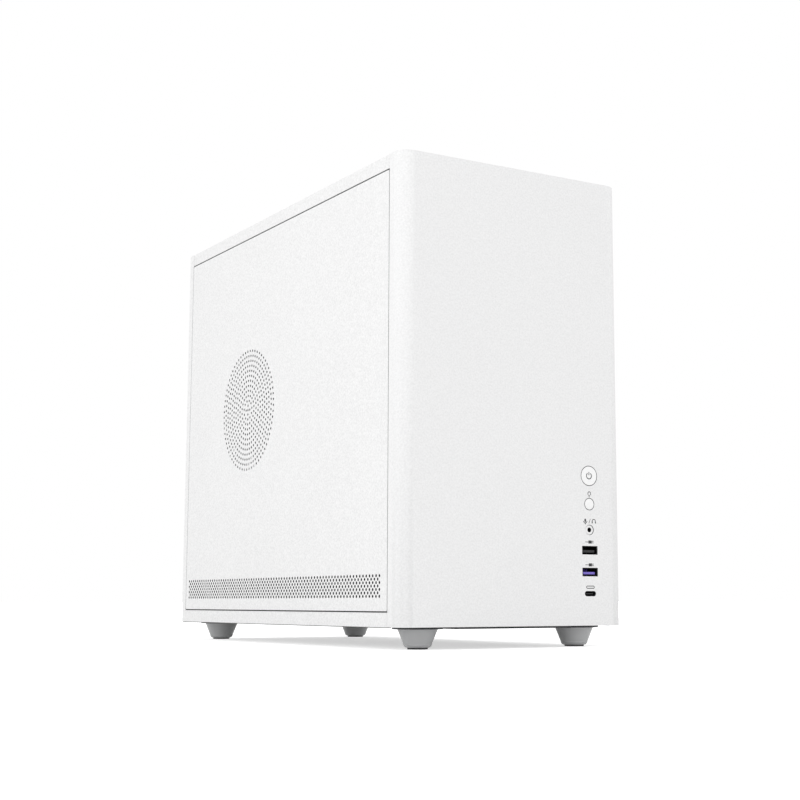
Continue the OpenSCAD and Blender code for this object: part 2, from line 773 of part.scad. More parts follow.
module front_panel() in_case() color(white) {
    difference() {
        linear_extrude(body_h) front_outline(body_w, front_d, front_corner_r);
        translate([0, front_wall, front_end_wall]) linear_extrude(body_h - 2 * front_end_wall)
            front_outline(body_w - 2 * front_wall, front_d, front_corner_r - front_wall);
        sheet_xz(-over, front_wall + 2 * over) translate([control_x, 0]) {
            translate([0, power_z]) circle(d = power_d);
            translate([0, light_z]) circle(d = light_d);
            translate([0, jack_z]) circle(d = jack_d + 2 * port_gap);
            for (z = [usb2_z, usb3_z]) translate([0, z])
                square([usb_w + 2 * port_end_gap, usb_h + 2 * port_gap], center = true);
            translate([0, usbc_z]) slot_outline(usbc_w + 2 * port_end_gap, usbc_h + 2 * port_gap);
        }
        // Intake slots in the underside
        for (x = [-body_w / 2 + 24 : intake_pitch : body_w / 2 - 24])
            translate([x - intake_slot_w / 2, front_wall + 2.5, -over])
                cube([intake_slot_w, intake_len, front_end_wall + 2 * over]);
    }
    // Sleeves that guide the buttons
    for (b = [[power_z, power_d], [light_z, light_d]]) along_y([control_x, front_wall / 2, b[0]])
        difference() {
            cylinder(d = b[1] + 2 * sleeve_wall, h = sleeve_end_y - front_wall / 2);
            translate([0, 0, -over]) cylinder(d = b[1], h = sleeve_end_y + over);
        }
    // Pegs that hold the panel to the front frame
    for (p = pegs) along_y([p[0], front_wall / 2, p[1]]) {
        cylinder(d = peg_shoulder_d, h = chassis_y - fit_gap - front_wall / 2);
        cylinder(d = peg_d, h = chassis_y + sheet_t + peg_tip - front_wall / 2);
    }
}

// ---------------------------------------------------------------- front controls

// A round button with its lip behind the sleeve
module round_button(z, opening_d) {
    along_y([control_x, 0, z]) {
        cylinder(d = opening_d - 2 * button_gap, h = button_end_y - button_lip_t / 2, $fn = 96);
        translate([0, 0, button_end_y - button_lip_t])
            cylinder(d = opening_d + 2 * button_lip, h = button_lip_t);
    }
}

module power_button() in_case() color(white) round_button(power_z, power_d);

module light_button() in_case() color(white) round_button(light_z, light_d);

module port_bracket() in_case() color(dark) sheet_xz(bracket_y, bracket_t) difference() {
    rect([control_x - port_board_w / 2 - 2, port_board_z0 - 2],
        [control_x + port_board_w / 2 + 2, port_board_z1 + 2]);
    lead_window();
}

module port_board() in_case() color([0.05, 0.25, 0.12])
    block([control_x - port_board_w / 2, port_board_y, port_board_z0],
        [control_x + port_board_w / 2, bracket_y, port_board_z1]);

module push_switches() in_case() color(black) for (z = [power_z, light_z]) {
    block([control_x - switch_w / 2, port_board_y - switch_h, z - switch_w / 2],
        [control_x + switch_w / 2, port_board_y, z + switch_w / 2]);
    along_y([control_x, plunger_y, z]) cylinder(d = plunger_d, h = plunger_h + switch_h / 2);
}

module audio_jack() in_case() color(white) difference() {
    union() {
        along_y([control_x, 0.4, jack_z]) cylinder(d = jack_d, h = port_board_y - 0.4);
        block([control_x - jack_body_w / 2, front_wall + 1, jack_z - jack_body_w / 2],
            [control_x + jack_body_w / 2, port_board_y, jack_z + jack_body_w / 2]);
    }
    along_y([control_x, 0, jack_z]) cylinder(d = jack_bore_d, h = port_board_y - 1.5);
}

port_face_y = 0.5;               // how far the ports lie behind the front face

module usb_shells() in_case() color(black) {
    sheet_xz(port_face_y, port_board_y - port_face_y) translate([control_x, 0]) {
        for (z = [usb2_z, usb3_z]) translate([0, z]) difference() {
            square([usb_w, usb_h], center = true);
            square([usb_w - 2 * usb_shell_t, usb_h - 2 * usb_shell_t], center = true);
        }
        translate([0, usbc_z]) difference() {
            slot_outline(usbc_w, usbc_h);
            slot_outline(usbc_w - 2 * usb_shell_t, usbc_h - 2 * usb_shell_t);
        }
    }
}

// A USB-A tongue, low in its shell, on the plug that closes the shell's end
module usb_tongue(z) {
    inner_w = usb_w - 2 * usb_shell_t;
    inner_h = usb_h - 2 * usb_shell_t;
    low_z = z - inner_h / 2 + usb_tongue_gap;
    block([control_x - inner_w / 2 + 0.7, port_face_y + 1.2, low_z],
        [control_x + inner_w / 2 - 0.7, port_board_y - 1, low_z + usb_tongue_t]);
    block([control_x - inner_w / 2, port_board_y - 2.5, z - inner_h / 2],
        [control_x + inner_w / 2, port_board_y, z + inner_h / 2]);
}

module black_tongues() in_case() color(black) {
    usb_tongue(usb2_z);
    block([control_x - usbc_w / 2 + 1.2, port_face_y + 0.8, usbc_z - usbc_tongue_t / 2],
        [control_x + usbc_w / 2 - 1.2, port_board_y - 1, usbc_z + usbc_tongue_t / 2]);
    sheet_xz(port_board_y - 3, 3) translate([control_x, usbc_z])
        slot_outline(usbc_w - 2 * usb_shell_t, usbc_h - 2 * usb_shell_t);
}

module blue_tongue() in_case() color([0.2, 0.2, 0.75]) usb_tongue(usb3_z);

// ---------------------------------------------------------------- fans

// An axial fan's frame on z = 0, its air flowing along Z, with its bearing tube in the middle
module fan_frame(w, pitch) {
    strut_t = 2;
    strut_w = 4;
    ledge = 0.4;
    difference() {
        union() {
            difference() {
                linear_extrude(fan_t) difference() {
                    round_rect([-w / 2, -w / 2], [w / 2, w / 2], 5);
                    for (p = corners(pitch)) translate(p) circle(d = 4.3);
                    difference() {
                        circle(d = w - 2 * fan_wall - 2 * ledge, $fn = 96);
                        circle(d = hub_d);
                        for (a = [45 : 90 : 315]) rotate(a) translate([hub_d / 2 - 1, -strut_w / 2])
                            square([w / 2, strut_w]);
                    }
                }
                translate([0, 0, strut_t]) cylinder(d = w - 2 * fan_wall, h = fan_t, $fn = 96);
            }
            translate([0, 0, strut_t / 4]) cylinder(d = shaft_d + 5, h = fan_t - 8);
        }
        translate([0, 0, strut_t / 2]) cylinder(d = shaft_d + 2 * shaft_gap, h = fan_t);
        // Waist between the two mounting flanges
        for (a = [0 : 90 : 270]) rotate(a)
            translate([w / 2 - 1.2, -w / 2 + 14, 4]) cube([2, w - 28, fan_t - 8]);
    }
}

// The rotor of that fan: cup, shaft and curved blades
module fan_rotor(w) {
    tip_r = w / 2 - fan_wall - blade_gap;
    cup_z = 3;
    difference() {
        translate([0, 0, cup_z]) cylinder(d = hub_d, h = fan_t - cup_z - 1.5, $fn = 64);
        translate([0, 0, cup_z - over]) cylinder(d = hub_d - 4, h = fan_t - cup_z - 3.5, $fn = 64);
    }
    translate([0, 0, 2]) cylinder(d = shaft_d, h = fan_t - 5);
    chord = 300 / blade_count;
    for (k = [0 : blade_count - 1]) rotate(360 * k / blade_count)
        translate([0, 0, cup_z + 0.5])
            linear_extrude(fan_t - cup_z - 3, twist = chord, slices = 4, segments = 8, $fn = 0)
            polygon(concat(
                [for (s = [0 : 1 / 3 : 1]) blade_point(s, tip_r, 0)],
                [for (s = [1 : -1 / 3 : 0]) blade_point(s, tip_r, 1.5)]));
}

// A point along a swept blade's edge, s from the hub to the tip, pushed sideways by t
function blade_point(s, tip_r, t) =
    let (r = hub_d / 2 - 1 + s * (tip_r - hub_d / 2 + 1), a = 16 * s * s)
    [r * cos(a) - t * sin(a), r * sin(a) + t * cos(a)];

module at_front_fan() in_case() along_y([front_fan_x, chassis_y + sheet_t, front_fan_z]) children();

module at_rear_fan() in_case() translate([rear_fan_x, rear_y, rear_fan_z]) rotate([90, 0, 0]) children();

module at_cooler_fan() in_case() on_board(cpu_u, cpu_v) translate([0, 0, cpu_stack_h + sink_h]) children();

module at_psu_fan() in_case() translate([psu_mid_x, psu_fan_y, psu_z0 + psu_sheet_t]) children();

module front_fan_frame() color(dark) at_front_fan() fan_frame(front_fan_w, front_fan_pitch);

module front_fan_rotor() color(dark) at_front_fan() fan_rotor(front_fan_w);

module rear_fan_frame() color(dark) at_rear_fan() fan_frame(small_fan_w, small_fan_pitch);

module rear_fan_rotor() color(dark) at_rear_fan() fan_rotor(small_fan_w);

module cooler_fan_frame() color(dark) at_cooler_fan() fan_frame(small_fan_w, small_fan_pitch);

module cooler_fan_rotor() color(dark) at_cooler_fan() fan_rotor(small_fan_w);

// ---------------------------------------------------------------- power supply

module psu_case() in_case() color([0.25, 0.26, 0.27]) difference() {
    block([psu_x0, psu_y0, psu_z0], [psu_x0 + psu_w, rear_y, inner_top_z]);
    block([psu_x0 + psu_sheet_t, psu_y0 + psu_sheet_t, psu_z0 + psu_sheet_t],
        [psu_x0 + psu_w - psu_sheet_t, rear_y - psu_sheet_t, inner_top_z - psu_sheet_t]);
    translate([psu_mid_x, psu_fan_y, psu_z0 - over])
        cylinder(d = psu_fan_w - 2 * fan_wall, h = psu_sheet_t + 2 * over, $fn = 96);
    translate([psu_mid_x, psu_fan_y, psu_z0 - over]) for (p = corners(psu_fan_pitch))
        translate(p) cylinder(d = 4.2, h = psu_sheet_t + 2 * over);
    sheet_xz(rear_y - psu_sheet_t - over, psu_sheet_t + 2 * over) translate([psu_mid_x, psu_mid_z]) {
        for (p = psu_screws) translate(p) circle(d = 3.8);
        translate(inlet_at) square([inlet_w, inlet_h], center = true);
        translate(rocker_at) square([rocker_w + 2 * rocker_frame, rocker_h + 2 * rocker_frame],
            center = true);
        // Air holes over the rest of the rear face
        for (i = [-8 : 8], k = [-4 : 1]) {
            x = psu_hole_pitch * i;
            z = psu_hole_pitch * k - 6;
            if (psu_hole_is_clear(x, z)) translate([x, z]) circle(d = 0.75 * psu_hole_pitch, $fn = 24);
        }
    }
    along_y([psu_lead[0], psu_y0 - over, psu_lead[1]])
        cylinder(d = lead_hole_d, h = psu_sheet_t + 2 * over);
}

psu_hole_pitch = 7.2;

// Whether an air hole keeps off the screws and the case's edges
function psu_hole_is_clear(x, z) =
    min([for (p = psu_screws) norm([x, z] - p)]) > 7
        && abs(x) < psu_w / 2 - 8 && abs(z) < psu_h / 2 - 8
        && z < inlet_at[1] - inlet_h / 2 - rocker_frame - 3;

module psu_fan_grille() in_case() color(steel)
    translate([psu_mid_x, psu_fan_y, psu_z0 - 1.2]) linear_extrude(1.2) {
        for (r = [12 : 9 : 57]) difference() {
            circle(r, $fn = 64);
            circle(r - 1.2, $fn = 64);
        }
        for (a = [45 : 90 : 315]) rotate(a) translate([11, -1])
            square([psu_fan_pitch / sqrt(2) - 14, 2]);
        for (p = corners(psu_fan_pitch)) translate(p) difference() {
            circle(d = 8);
            circle(d = 4);
        }
    }

module psu_fan_frame() color(dark) at_psu_fan() fan_frame(psu_fan_w, psu_fan_pitch);

module psu_fan_rotor() color(dark) at_psu_fan() fan_rotor(psu_fan_w);

// Centres of the inlet and the rocker on the rear face
inlet_x = psu_mid_x + inlet_at[0];
rocker_x = psu_mid_x + rocker_at[0];
control_z = psu_mid_z + inlet_at[1];
flange_w = 1.6;

module mains_inlet() in_case() color(black) {
    difference() {
        union() {
            block([inlet_x - inlet_w / 2 + fit_gap, rear_y - inlet_d, control_z - inlet_h / 2 + fit_gap],
                [inlet_x + inlet_w / 2 - fit_gap, rear_y, control_z + inlet_h / 2 - fit_gap]);
            block([inlet_x - inlet_w / 2 - flange_w, rear_y, control_z - inlet_h / 2 - flange_w],
                [inlet_x + inlet_w / 2 + flange_w, rear_y + sheet_t, control_z + inlet_h / 2 + flange_w]);
        }
        sheet_xz(rear_y - inlet_d + 2, inlet_d + sheet_t) translate([inlet_x, control_z])
            inlet_outline(inlet_mouth_w, inlet_mouth_h);
        for (b = blades) translate([inlet_x + b[0], 0, control_z + b[1]])
            block([-1 - over, rear_y - inlet_d - over, -2 - over],
                [1 + over, rear_y - inlet_d + 3, 2 + over]);
    }
    // Frame and side bearings of the rocker
    difference() {
        union() {
            block([rocker_x - rocker_w / 2 - rocker_frame + fit_gap, rear_y - 12,
                    control_z - rocker_h / 2 - rocker_frame + fit_gap],
                [rocker_x + rocker_w / 2 + rocker_frame - fit_gap, rear_y,
                    control_z + rocker_h / 2 + rocker_frame - fit_gap]);
            block([rocker_x - rocker_w / 2 - rocker_frame - flange_w, rear_y,
                    control_z - rocker_h / 2 - rocker_frame - rocker_end_gap],
                [rocker_x + rocker_w / 2 + rocker_frame + flange_w, rear_y + sheet_t,
                    control_z + rocker_h / 2 + rocker_frame + rocker_end_gap]);
        }
        block([rocker_x - rocker_w / 2 - fit_gap, rear_y - 10,
                control_z - rocker_h / 2 - rocker_end_gap],
            [rocker_x + rocker_w / 2 + fit_gap, body_d + over,
                control_z + rocker_h / 2 + rocker_end_gap]);
        along_x([rocker_x - rocker_w / 2 - 2, rocker_y, control_z])
            cylinder(r = rocker_pin_d / 2 + shaft_gap, h = rocker_w + 4);
    }
}

// The inlet's mouth: a rectangle with its two upper corners cut off
module inlet_outline(w, h) {
    c = 4;
    polygon([[-w / 2, -h / 2], [w / 2, -h / 2], [w / 2, h / 2 - c], [w / 2 - c, h / 2],
        [-w / 2 + c, h / 2], [-w / 2, h / 2 - c]]);
}

blades = [[-7, -2.5], [7, -2.5], [0, 2.5]];
rocker_y = rear_y - 2.5;
rocker_end_gap = 0.6;            // gap above and below the rocker

module inlet_blades() in_case() color(brass) for (b = blades)
    block([inlet_x + b[0] - 1, rear_y - inlet_d - 4, control_z + b[1] - 2],
        [inlet_x + b[0] + 1, rear_y - 3, control_z + b[1] + 2]);

// Turns about its pins; at rest its upper half is pressed in
module power_rocker() in_case() color(black) {
    translate([rocker_x, rocker_y, control_z]) rotate([rocker_tilt, 0, 0]) {
        half = rocker_h / 2;
        translate([-rocker_w / 2, 0, 0]) rotate([90, 0, 90]) linear_extrude(rocker_w)
            polygon([[-5, -half + 3], [-5, half - 3], [1.6, half - 0.5], [3.2, 0], [1.6, -half + 0.5]]);
        along_x([-rocker_w / 2 - 1.6, 0, 0]) cylinder(d = rocker_pin_d, h = rocker_w + 3.2);
    }
}

// Circuit board hung under the power supply's lid, with its large parts
module psu_circuit() in_case() color([0.3, 0.25, 0.1]) {
    edge_gap = 8;
    post_h = 3;
    z1 = inner_top_z - psu_sheet_t - post_h;
    x0 = psu_x0 + edge_gap;
    x1 = psu_x0 + psu_w - edge_gap;
    y0 = psu_y0 + edge_gap;
    y1 = rear_y - inlet_d - 9;
    block([x0, y0, z1 - board_t], [x1, y1, z1]);
    for (x = [x0 + 4, x1 - 4], y = [y0 + 4, y1 - edge_gap])
        translate([x, y, z1 - 1]) cylinder(d = 5, h = post_h + 1);
    // Transformer
    block([x0 + 52, y0 + 30, z1 - 32], [x0 + 86, y0 + 66, z1 - 1]);
    // Heat sinks
    for (x = [x0 + 34, x0 + 100]) block([x, y0 + 10, z1 - 36], [x + 4, y1 - 12, z1 - 1]);
    // Large and small capacitors
    for (y = [y0 + 26, y0 + 56]) translate([x0 + 118, y, z1 - 34]) cylinder(d = 20, h = 33);
    for (y = [y0 + 14 : 13 : y0 + 70]) translate([x0 + 18, y, z1 - 22]) cylinder(d = 10, h = 21);
}

// ---------------------------------------------------------------- board and what it carries

module motherboard() in_case() color([0.06, 0.09, 0.08]) difference() {
    block([board_face_x, board_rear_y - board_size, board_low_z],
        [board_face_x + board_t, board_rear_y, board_top_z]);
    for (u = board_hole_us, v = board_hole_vs) on_board(u, v)
        translate([0, 0, -board_t - over]) cylinder(d = board_screw_d + 1, h = board_t + 2 * over);
}

module board_standoffs() in_case() color(brass) for (u = board_hole_us, v = board_hole_vs)
    on_board(u, v) translate([0, 0, -board_t - standoff_h]) difference() {
        cylinder(d = standoff_d, h = standoff_h);
        translate([0, 0, 2]) cylinder(d = board_screw_d + 0.4, h = standoff_h);
    }

module processor_socket() in_case() color(steel) difference() {
    board_block(cpu_u, cpu_v, socket_w, socket_w - 4, socket_h);
    board_block(cpu_u, cpu_v, cpu_w + 2 * fit_gap, cpu_w + 2 * fit_gap, socket_h, 1);
}

module processor() in_case() color(steel) board_block(cpu_u, cpu_v, cpu_w, cpu_w, socket_h + cpu_t - 1, 1);

// Cooler: base over the processor, a comb of fins and four legs to the board
module cooler_heat_sink() in_case() color([0.8, 0.8, 0.82]) on_board(cpu_u, cpu_v) {
    leg = 38;
    translate([-leg / 2 - 6, -leg / 2 - 6, cpu_stack_h]) cube([leg + 12, leg + 12, sink_base_t]);
    for (s = [-1, 1]) {
        translate([-2, s * (sink_w / 2 - 6) - 3, 0]) cylinder(d = 5, h = cpu_stack_h + sink_base_t);
    }
    count = floor((sink_w - fin_t) / fin_pitch);
    span = count * fin_pitch + fin_t;
    translate([-sink_w / 2, 0, cpu_stack_h]) rotate([90, 0, 90]) linear_extrude(sink_w) {
        rect([-span / 2, sink_base_t - 2], [span / 2, sink_base_t + 2]);
        for (k = [0 : count]) rect([-span / 2 + k * fin_pitch, sink_base_t],
            [-span / 2 + k * fin_pitch + fin_t, sink_h]);
    }
}

memory_us = [memory_u, memory_u + memory_pitch];

module memory_slots() in_case() color(black) for (u = memory_us) difference() {
    board_block(u, memory_v, memory_slot_l, memory_slot_w, memory_slot_h);
    board_block(u, memory_v, memory_l + 1, memory_t + 0.4, memory_slot_h, 2.5);
    // Room for the latch at the upper end
    board_block(u, memory_v - memory_slot_l / 2 + 1.4, 2.8 + over, memory_slot_w - 2, memory_slot_h, 1.5);
}

memory_chip = [11, 1, 9];           // size along the module, out from it and up from the board
memory_chip_pitch = 15.6;

module memory_modules() in_case() color([0.05, 0.2, 0.1]) for (u = memory_us) {
    board_block(u, memory_v, memory_l, memory_t, memory_h, 2.7);
    for (k = [-3.5 : 3.5]) board_block(u + (memory_t + memory_chip[1]) / 2, memory_v + k * memory_chip_pitch,
        memory_chip[0], memory_chip[1], memory_chip[2], 14);
}

// A latch at the upper end of a memory slot; it swings up and away from the module
latch_pivot_h = 3.2;
latch_v = memory_v - memory_slot_l / 2 + 1.2;
module memory_latch(u) {
    on_board(u, latch_v) translate([0, 0, latch_pivot_h]) {
        translate([0, -memory_slot_w / 2 + 1.3, 0]) rotate([-90, 0, 0])
            cylinder(d = 2.2, h = memory_slot_w - 2.6);
        translate([-0.9, -memory_slot_w / 2 + 1.4, 0]) cube([1.6, memory_slot_w - 2.8, 17]);
        translate([-0.9, -memory_slot_w / 2 + 1.4, 14]) cube([4.4, memory_slot_w - 2.8, 2]);
    }
}

module memory_latch_near() in_case() color(steel) memory_latch(memory_us[0]);

module memory_latch_far() in_case() color(steel) memory_latch(memory_us[1]);

// Long slot in the first place, short slots in the second and the fourth
expansion = [[0, 89, 46], [1, 25, 46], [3, 25, 46]];

module expansion_slots() in_case() color(black) for (s = expansion) {
    v = slot_v + s[0] * slot_pitch;
    difference() {
        board_block(s[2] + s[1] / 2, v, 7.5, s[1], 11);
        board_block(s[2] + s[1] / 2, v, 1.6, s[1] - 3, 11, 3);
    }
}

// Heat sinks of the regulators and of the chipset: u, v, size along v, size along u, height
regulator_sink = [39, 70, 84, 7, 20];
chipset_sink = [195, 195, 36, 36, 9];
groove_w = 1.4;
groove_pitch = 3.6;

module board_heat_sinks() in_case() color([0.3, 0.31, 0.33]) {
    finned_block(regulator_sink);
    finned_block(chipset_sink);
}

// A block with grooves along v
module finned_block(s) {
    grooves = floor(s[3] / groove_pitch);
    difference() {
        board_block(s[0], s[1], s[2], s[3], s[4]);
        for (k = [1 : grooves - 1])
            board_block(s[0] - s[3] / 2 + k * s[3] / grooves, s[1], s[2] + 1, groove_w, s[4], s[4] * 0.45);
    }
}

// Power and data connectors, capacitors, chips and the coin cell
module board_components() in_case() color(dark) {
    for (c = board_boxes) board_block(c[0], c[1], c[2], c[3], c[4]);
    for (v = [22 : 11 : 110]) capacitor(v, large_capacitor);
    for (v = [186 : 9 : 232]) capacitor(v, small_capacitor);
    on_board(cell_at[0], cell_at[1]) cylinder(d = cell_d, h = cell_h);
}

module capacitor(v, size) on_board(capacitor_u, v) cylinder(d = size[0], h = size[1]);

capacitor_u = 28;
large_capacitor = [6.4, 9];         // diameter and height
small_capacitor = [5.2, 7];
cell_at = [150, 205];               // u and v of the coin cell
cell_d = 21;
cell_h = 4.2;

main_plug = [231, 66, 52, 9.6];     // u, v and size of the large power connector
cpu_plug = [66, 9, 9.6, 21];        // u, v and size of the processor's power connector
sata_plug = [237, 196, 16, 10];     // u, v and size of the drive connector
header_plug = [206, 235, 7, 24];    // u, v and size of the front lead's header
plug_h = 11;
board_boxes = [
    concat(main_plug, [plug_h]), concat(cpu_plug, [plug_h]), concat(sata_plug, [9]),
    concat(header_plug, [8]), [118, 222, 12, 12, 1.4], [96, 232, 9, 9, 1.2], [222, 128, 9, 9, 1.2]];

// Rear ports: [v, width along v, height, wall, kind]
rear_port_list = [[30, 15, 16.5], [50, 16, 8], [70, 17, 8], [92, 15, 16.5], [114, 17, 14],
    [138, 15, 16.5]];
port_wall = 1;

module rear_ports() in_case() color(steel) for (p = rear_port_list) difference() {
    on_board(port_depth / 2 - port_reach / 2, p[0])
        translate([-p[1] / 2, -(port_depth + port_reach) / 2, 0])
            cube([p[1], port_depth + port_reach, p[2]]);
    on_board(-port_reach, p[0]) translate([-p[1] / 2 + port_wall, -12, port_wall])
        cube([p[1] - 2 * port_wall, 12 + over, p[2] - 2 * port_wall]);
}

port_reach = board_rear_gap + shield_t;      // how far the ports reach past the board's edge

module io_shield() in_case() color(steel) difference() {
    union() {
        block([io_x1 - io_w + fit_gap, rear_y, io_z1 - io_h + fit_gap],
            [io_x1 - fit_gap, rear_y + shield_t, io_z1 - fit_gap]);
        block([io_x1 - io_w - 0.6, rear_y - 0.6, io_z1 - io_h - 0.6],
            [board_face_x - 0.2, rear_y, io_z1 + 0.6]);
    }
    for (p = rear_port_list) on_board(0, p[0])
        translate([-p[1] / 2 - fit_gap, -over, -over])
            cube([p[1] + 2 * fit_gap, 4, p[2] + fit_gap + over]);
}

module slot_covers() in_case() color(white) for (z = slot_zs) difference() {
    union() {
        block([cover_x0, rear_y - slot_cover_t, z - slot_cover_w / 2],
            [cover_x1, rear_y, z + slot_cover_w / 2]);
        block([cover_x0 - slot_cover_t, ledge_y + 1, z - slot_cover_w / 2],
            [cover_x0, rear_y, z + slot_cover_w / 2]);
    }
    along_x([cover_x0 - slot_cover_t - over, ledge_y + 6, z])
        cylinder(d = board_screw_d + 2 * fit_gap, h = slot_cover_t + 2 * over);
}

module solid_state_stick() in_case() color([0.05, 0.2, 0.1]) {
    u = 92;
    v = 144;
    lift = 2.4;
    card_t = 0.8;
    chip_t = 1.2;
    // Socket, card, two chips and the post under the card's free end
    board_block(u - stick_l / 2 - 2.5, v, stick_w + 2, 7, 4);
    board_block(u, v, stick_w, stick_l, card_t, lift);
    for (chip = [[u - 16, 16], [u + 10, 20]])
        board_block(chip[0], v, 14, chip[1], chip_t, lift + card_t - 0.1);
    on_board(u + stick_l / 2 - 2, v) cylinder(d = 5, h = lift + 0.1);
}

// ---------------------------------------------------------------- drives, screws and cables

module drive_cage() in_case() color(white) {
    z0 = inner_top_z - cage_h;
    for (s = [-1, 1]) difference() {
        block([cage_x + s * cage_w / 2 - (s + 1) / 2 * sheet_t, cage_y, z0],
            [cage_x + s * cage_w / 2 - (s - 1) / 2 * sheet_t, cage_y + cage_l, inner_top_z]);
        for (y = [30, 90]) along_x([cage_x + s * cage_w / 2 - 2, cage_y + y, z0 + 8])
            cylinder(d = 4.4, h = 4);
    }
    block([cage_x - cage_w / 2, cage_y, inner_top_z - sheet_t],
        [cage_x + cage_w / 2, cage_y + cage_l, inner_top_z]);
}

drive_z0 = inner_top_z - cage_h + 2;

module hard_drive() in_case() color([0.5, 0.51, 0.53]) difference() {
    union() {
        block([cage_x - drive_w / 2, cage_y + 1, drive_z0],
            [cage_x + drive_w / 2, cage_y + 1 + drive_l, drive_z0 + drive_h - 3]);
        block([cage_x - drive_w / 2 + 3, cage_y + 3, drive_z0 + drive_h - 4],
            [cage_x + drive_w / 2 - 3, cage_y + drive_l - 22, drive_z0 + drive_h]);
    }
    for (s = [-1, 1], y = [30, 90]) along_x([cage_x + s * drive_w / 2 - 4, cage_y + y, drive_z0 + 6])
        cylinder(d = 3.2, h = 8);
    // Connector recess at the rear end
    block([cage_x - 42, cage_y + drive_l - 6, drive_z0 + 2],
        [cage_x + 8, cage_y + drive_l + 2, drive_z0 + 10]);
}

module machine_screws() in_case() color(steel) {
    at_feet() translate([0, 0, foot_z1 - foot_floor]) mirror([0, 0, 1])
        screw(2 * foot_well_r - 1, foot_screw_head_h, foot_screw_d, foot_floor + washer_t + sheet_t + 1.5);
    for (p = psu_screws) translate([psu_mid_x + p[0], body_d, psu_mid_z + p[1]]) rotate([-90, 0, 0])
        screw(7, rear_head_h, 3.4, 7);
    for (p = corners(small_fan_pitch)) translate([rear_fan_x + p[0], body_d, rear_fan_z + p[1]])
        rotate([-90, 0, 0]) screw(7.4, rear_head_h, 3.8, 8);
    for (p = corners(front_fan_pitch)) translate([front_fan_x + p[0], chassis_y, front_fan_z + p[1]])
        rotate([90, 0, 0]) screw(7.4, 2, 3.8, 8);
    for (u = board_hole_us, v = board_hole_vs) on_board(u, v) screw(6, 2, board_screw_d, board_t + 3.5);
    for (z = slot_zs) along_x([cover_x0, ledge_y + 6, z]) screw(6.4, 2.2, board_screw_d, 6);
    for (s = [-1, 1], y = [30, 90]) translate([cage_x + s * cage_w / 2, cage_y + y, drive_z0 + 6])
        rotate([0, 90 * s, 0]) screw(6, 1.6, 2.8, 4.4);
    for (p = corners(psu_fan_pitch)) translate([psu_mid_x + p[0], psu_fan_y + p[1], psu_z0 - 1.2])
        mirror([0, 0, 1]) screw(7.4, 2, 3.6, 9);
}

// A plug of the given size that stands on a board connector, and its wire end
module plug_on(c, h, length) {
    board_block(c[0], c[1], c[2] - 1.2, c[3] - 1.2, length, h);
}

module cables() in_case() color(black) {
    plug_l = 12;
    // Large power lead
    plug_on(main_plug, plug_h, plug_l);
    main_end = [board_face_x - plug_h - plug_l, board_rear_y - main_plug[0], board_top_z - main_plug[1]];
    psu_end = [psu_lead[0], psu_y0 - 1, psu_lead[1]];
    tube(smooth_route([psu_end + [0, 8, 2], psu_end + [0, -14, 2], psu_end + [-16, -40, -8],
        main_end + [-44, 20, 66], main_end + [-40, 2, 14], main_end + [-14, 0, 0], main_end], 4), 4.2);
    // Processor power lead, under the power supply
    plug_on(cpu_plug, plug_h, plug_l);
    cpu_end = [board_face_x - plug_h - plug_l, board_rear_y - cpu_plug[0], board_top_z - cpu_plug[1]];
    tube(smooth_route([psu_end + [0, 8, -7], psu_end + [-2, -6, -8],
        [cpu_end[0] - 22, psu_y0 - 9, psu_z0 + 4], [cpu_end[0] - 26, psu_y0 + 10, cpu_end[2] - 3],
        [cpu_end[0] - 24, cpu_end[1] - 30, cpu_end[2] - 2],
        [cpu_end[0] - 12, cpu_end[1] - 4, cpu_end[2]], cpu_end], 4), 2.8);
    // Drive data lead
    drive_end = [cage_x - 17, cage_y + 1 + drive_l + 1, drive_z0 + 6];
    block(drive_end - [21, 6, 3], drive_end + [21, 12, 3]);
    sata_end = [board_face_x - 4.5, board_rear_y - sata_plug[0] - sata_plug[3] / 2,
        board_top_z - sata_plug[1]];
    block(sata_end - [3, 14, 6], sata_end + [3, 0, 6]);
    tube(smooth_route([drive_end + [14, 12, 0], drive_end + [18, 26, -4], drive_end + [34, 24, -40],
        [sata_end[0] - 30, sata_end[1] - 40, sata_end[2] + 90],
        [sata_end[0] - 8, sata_end[1] - 44, sata_end[2] + 24],
        sata_end + [0, -28, 2], sata_end + [0, -14, 0]], 4), 2);
    // Drive power lead
    tube(smooth_route([psu_end + [-7, 8, 1], psu_end + [-12, -12, 2], drive_end + [10, 40, 6],
        drive_end + [-12, 30, 2], drive_end + [-14, 12, 0]], 4), 2.2);
    // Front lead from the port board to the header
    block([control_x - 4, bracket_y, jack_z - 12], [control_x + 4, bracket_y + 4, jack_z - 2]);
    plug_on(header_plug, 8, 8);
    lead_end = [board_face_x - 16, board_rear_y - header_plug[0], board_top_z - header_plug[1]];
    tube(smooth_route([[control_x, bracket_y + 2, jack_z - 7], [control_x, chassis_y + 14, jack_z - 9],
        [control_x - 4, chassis_y + 60, lead_end[2] + 16],
        lead_end + [-12, -50, 2], lead_end + [-12, -6, 0], lead_end], 4), 2.4);
}

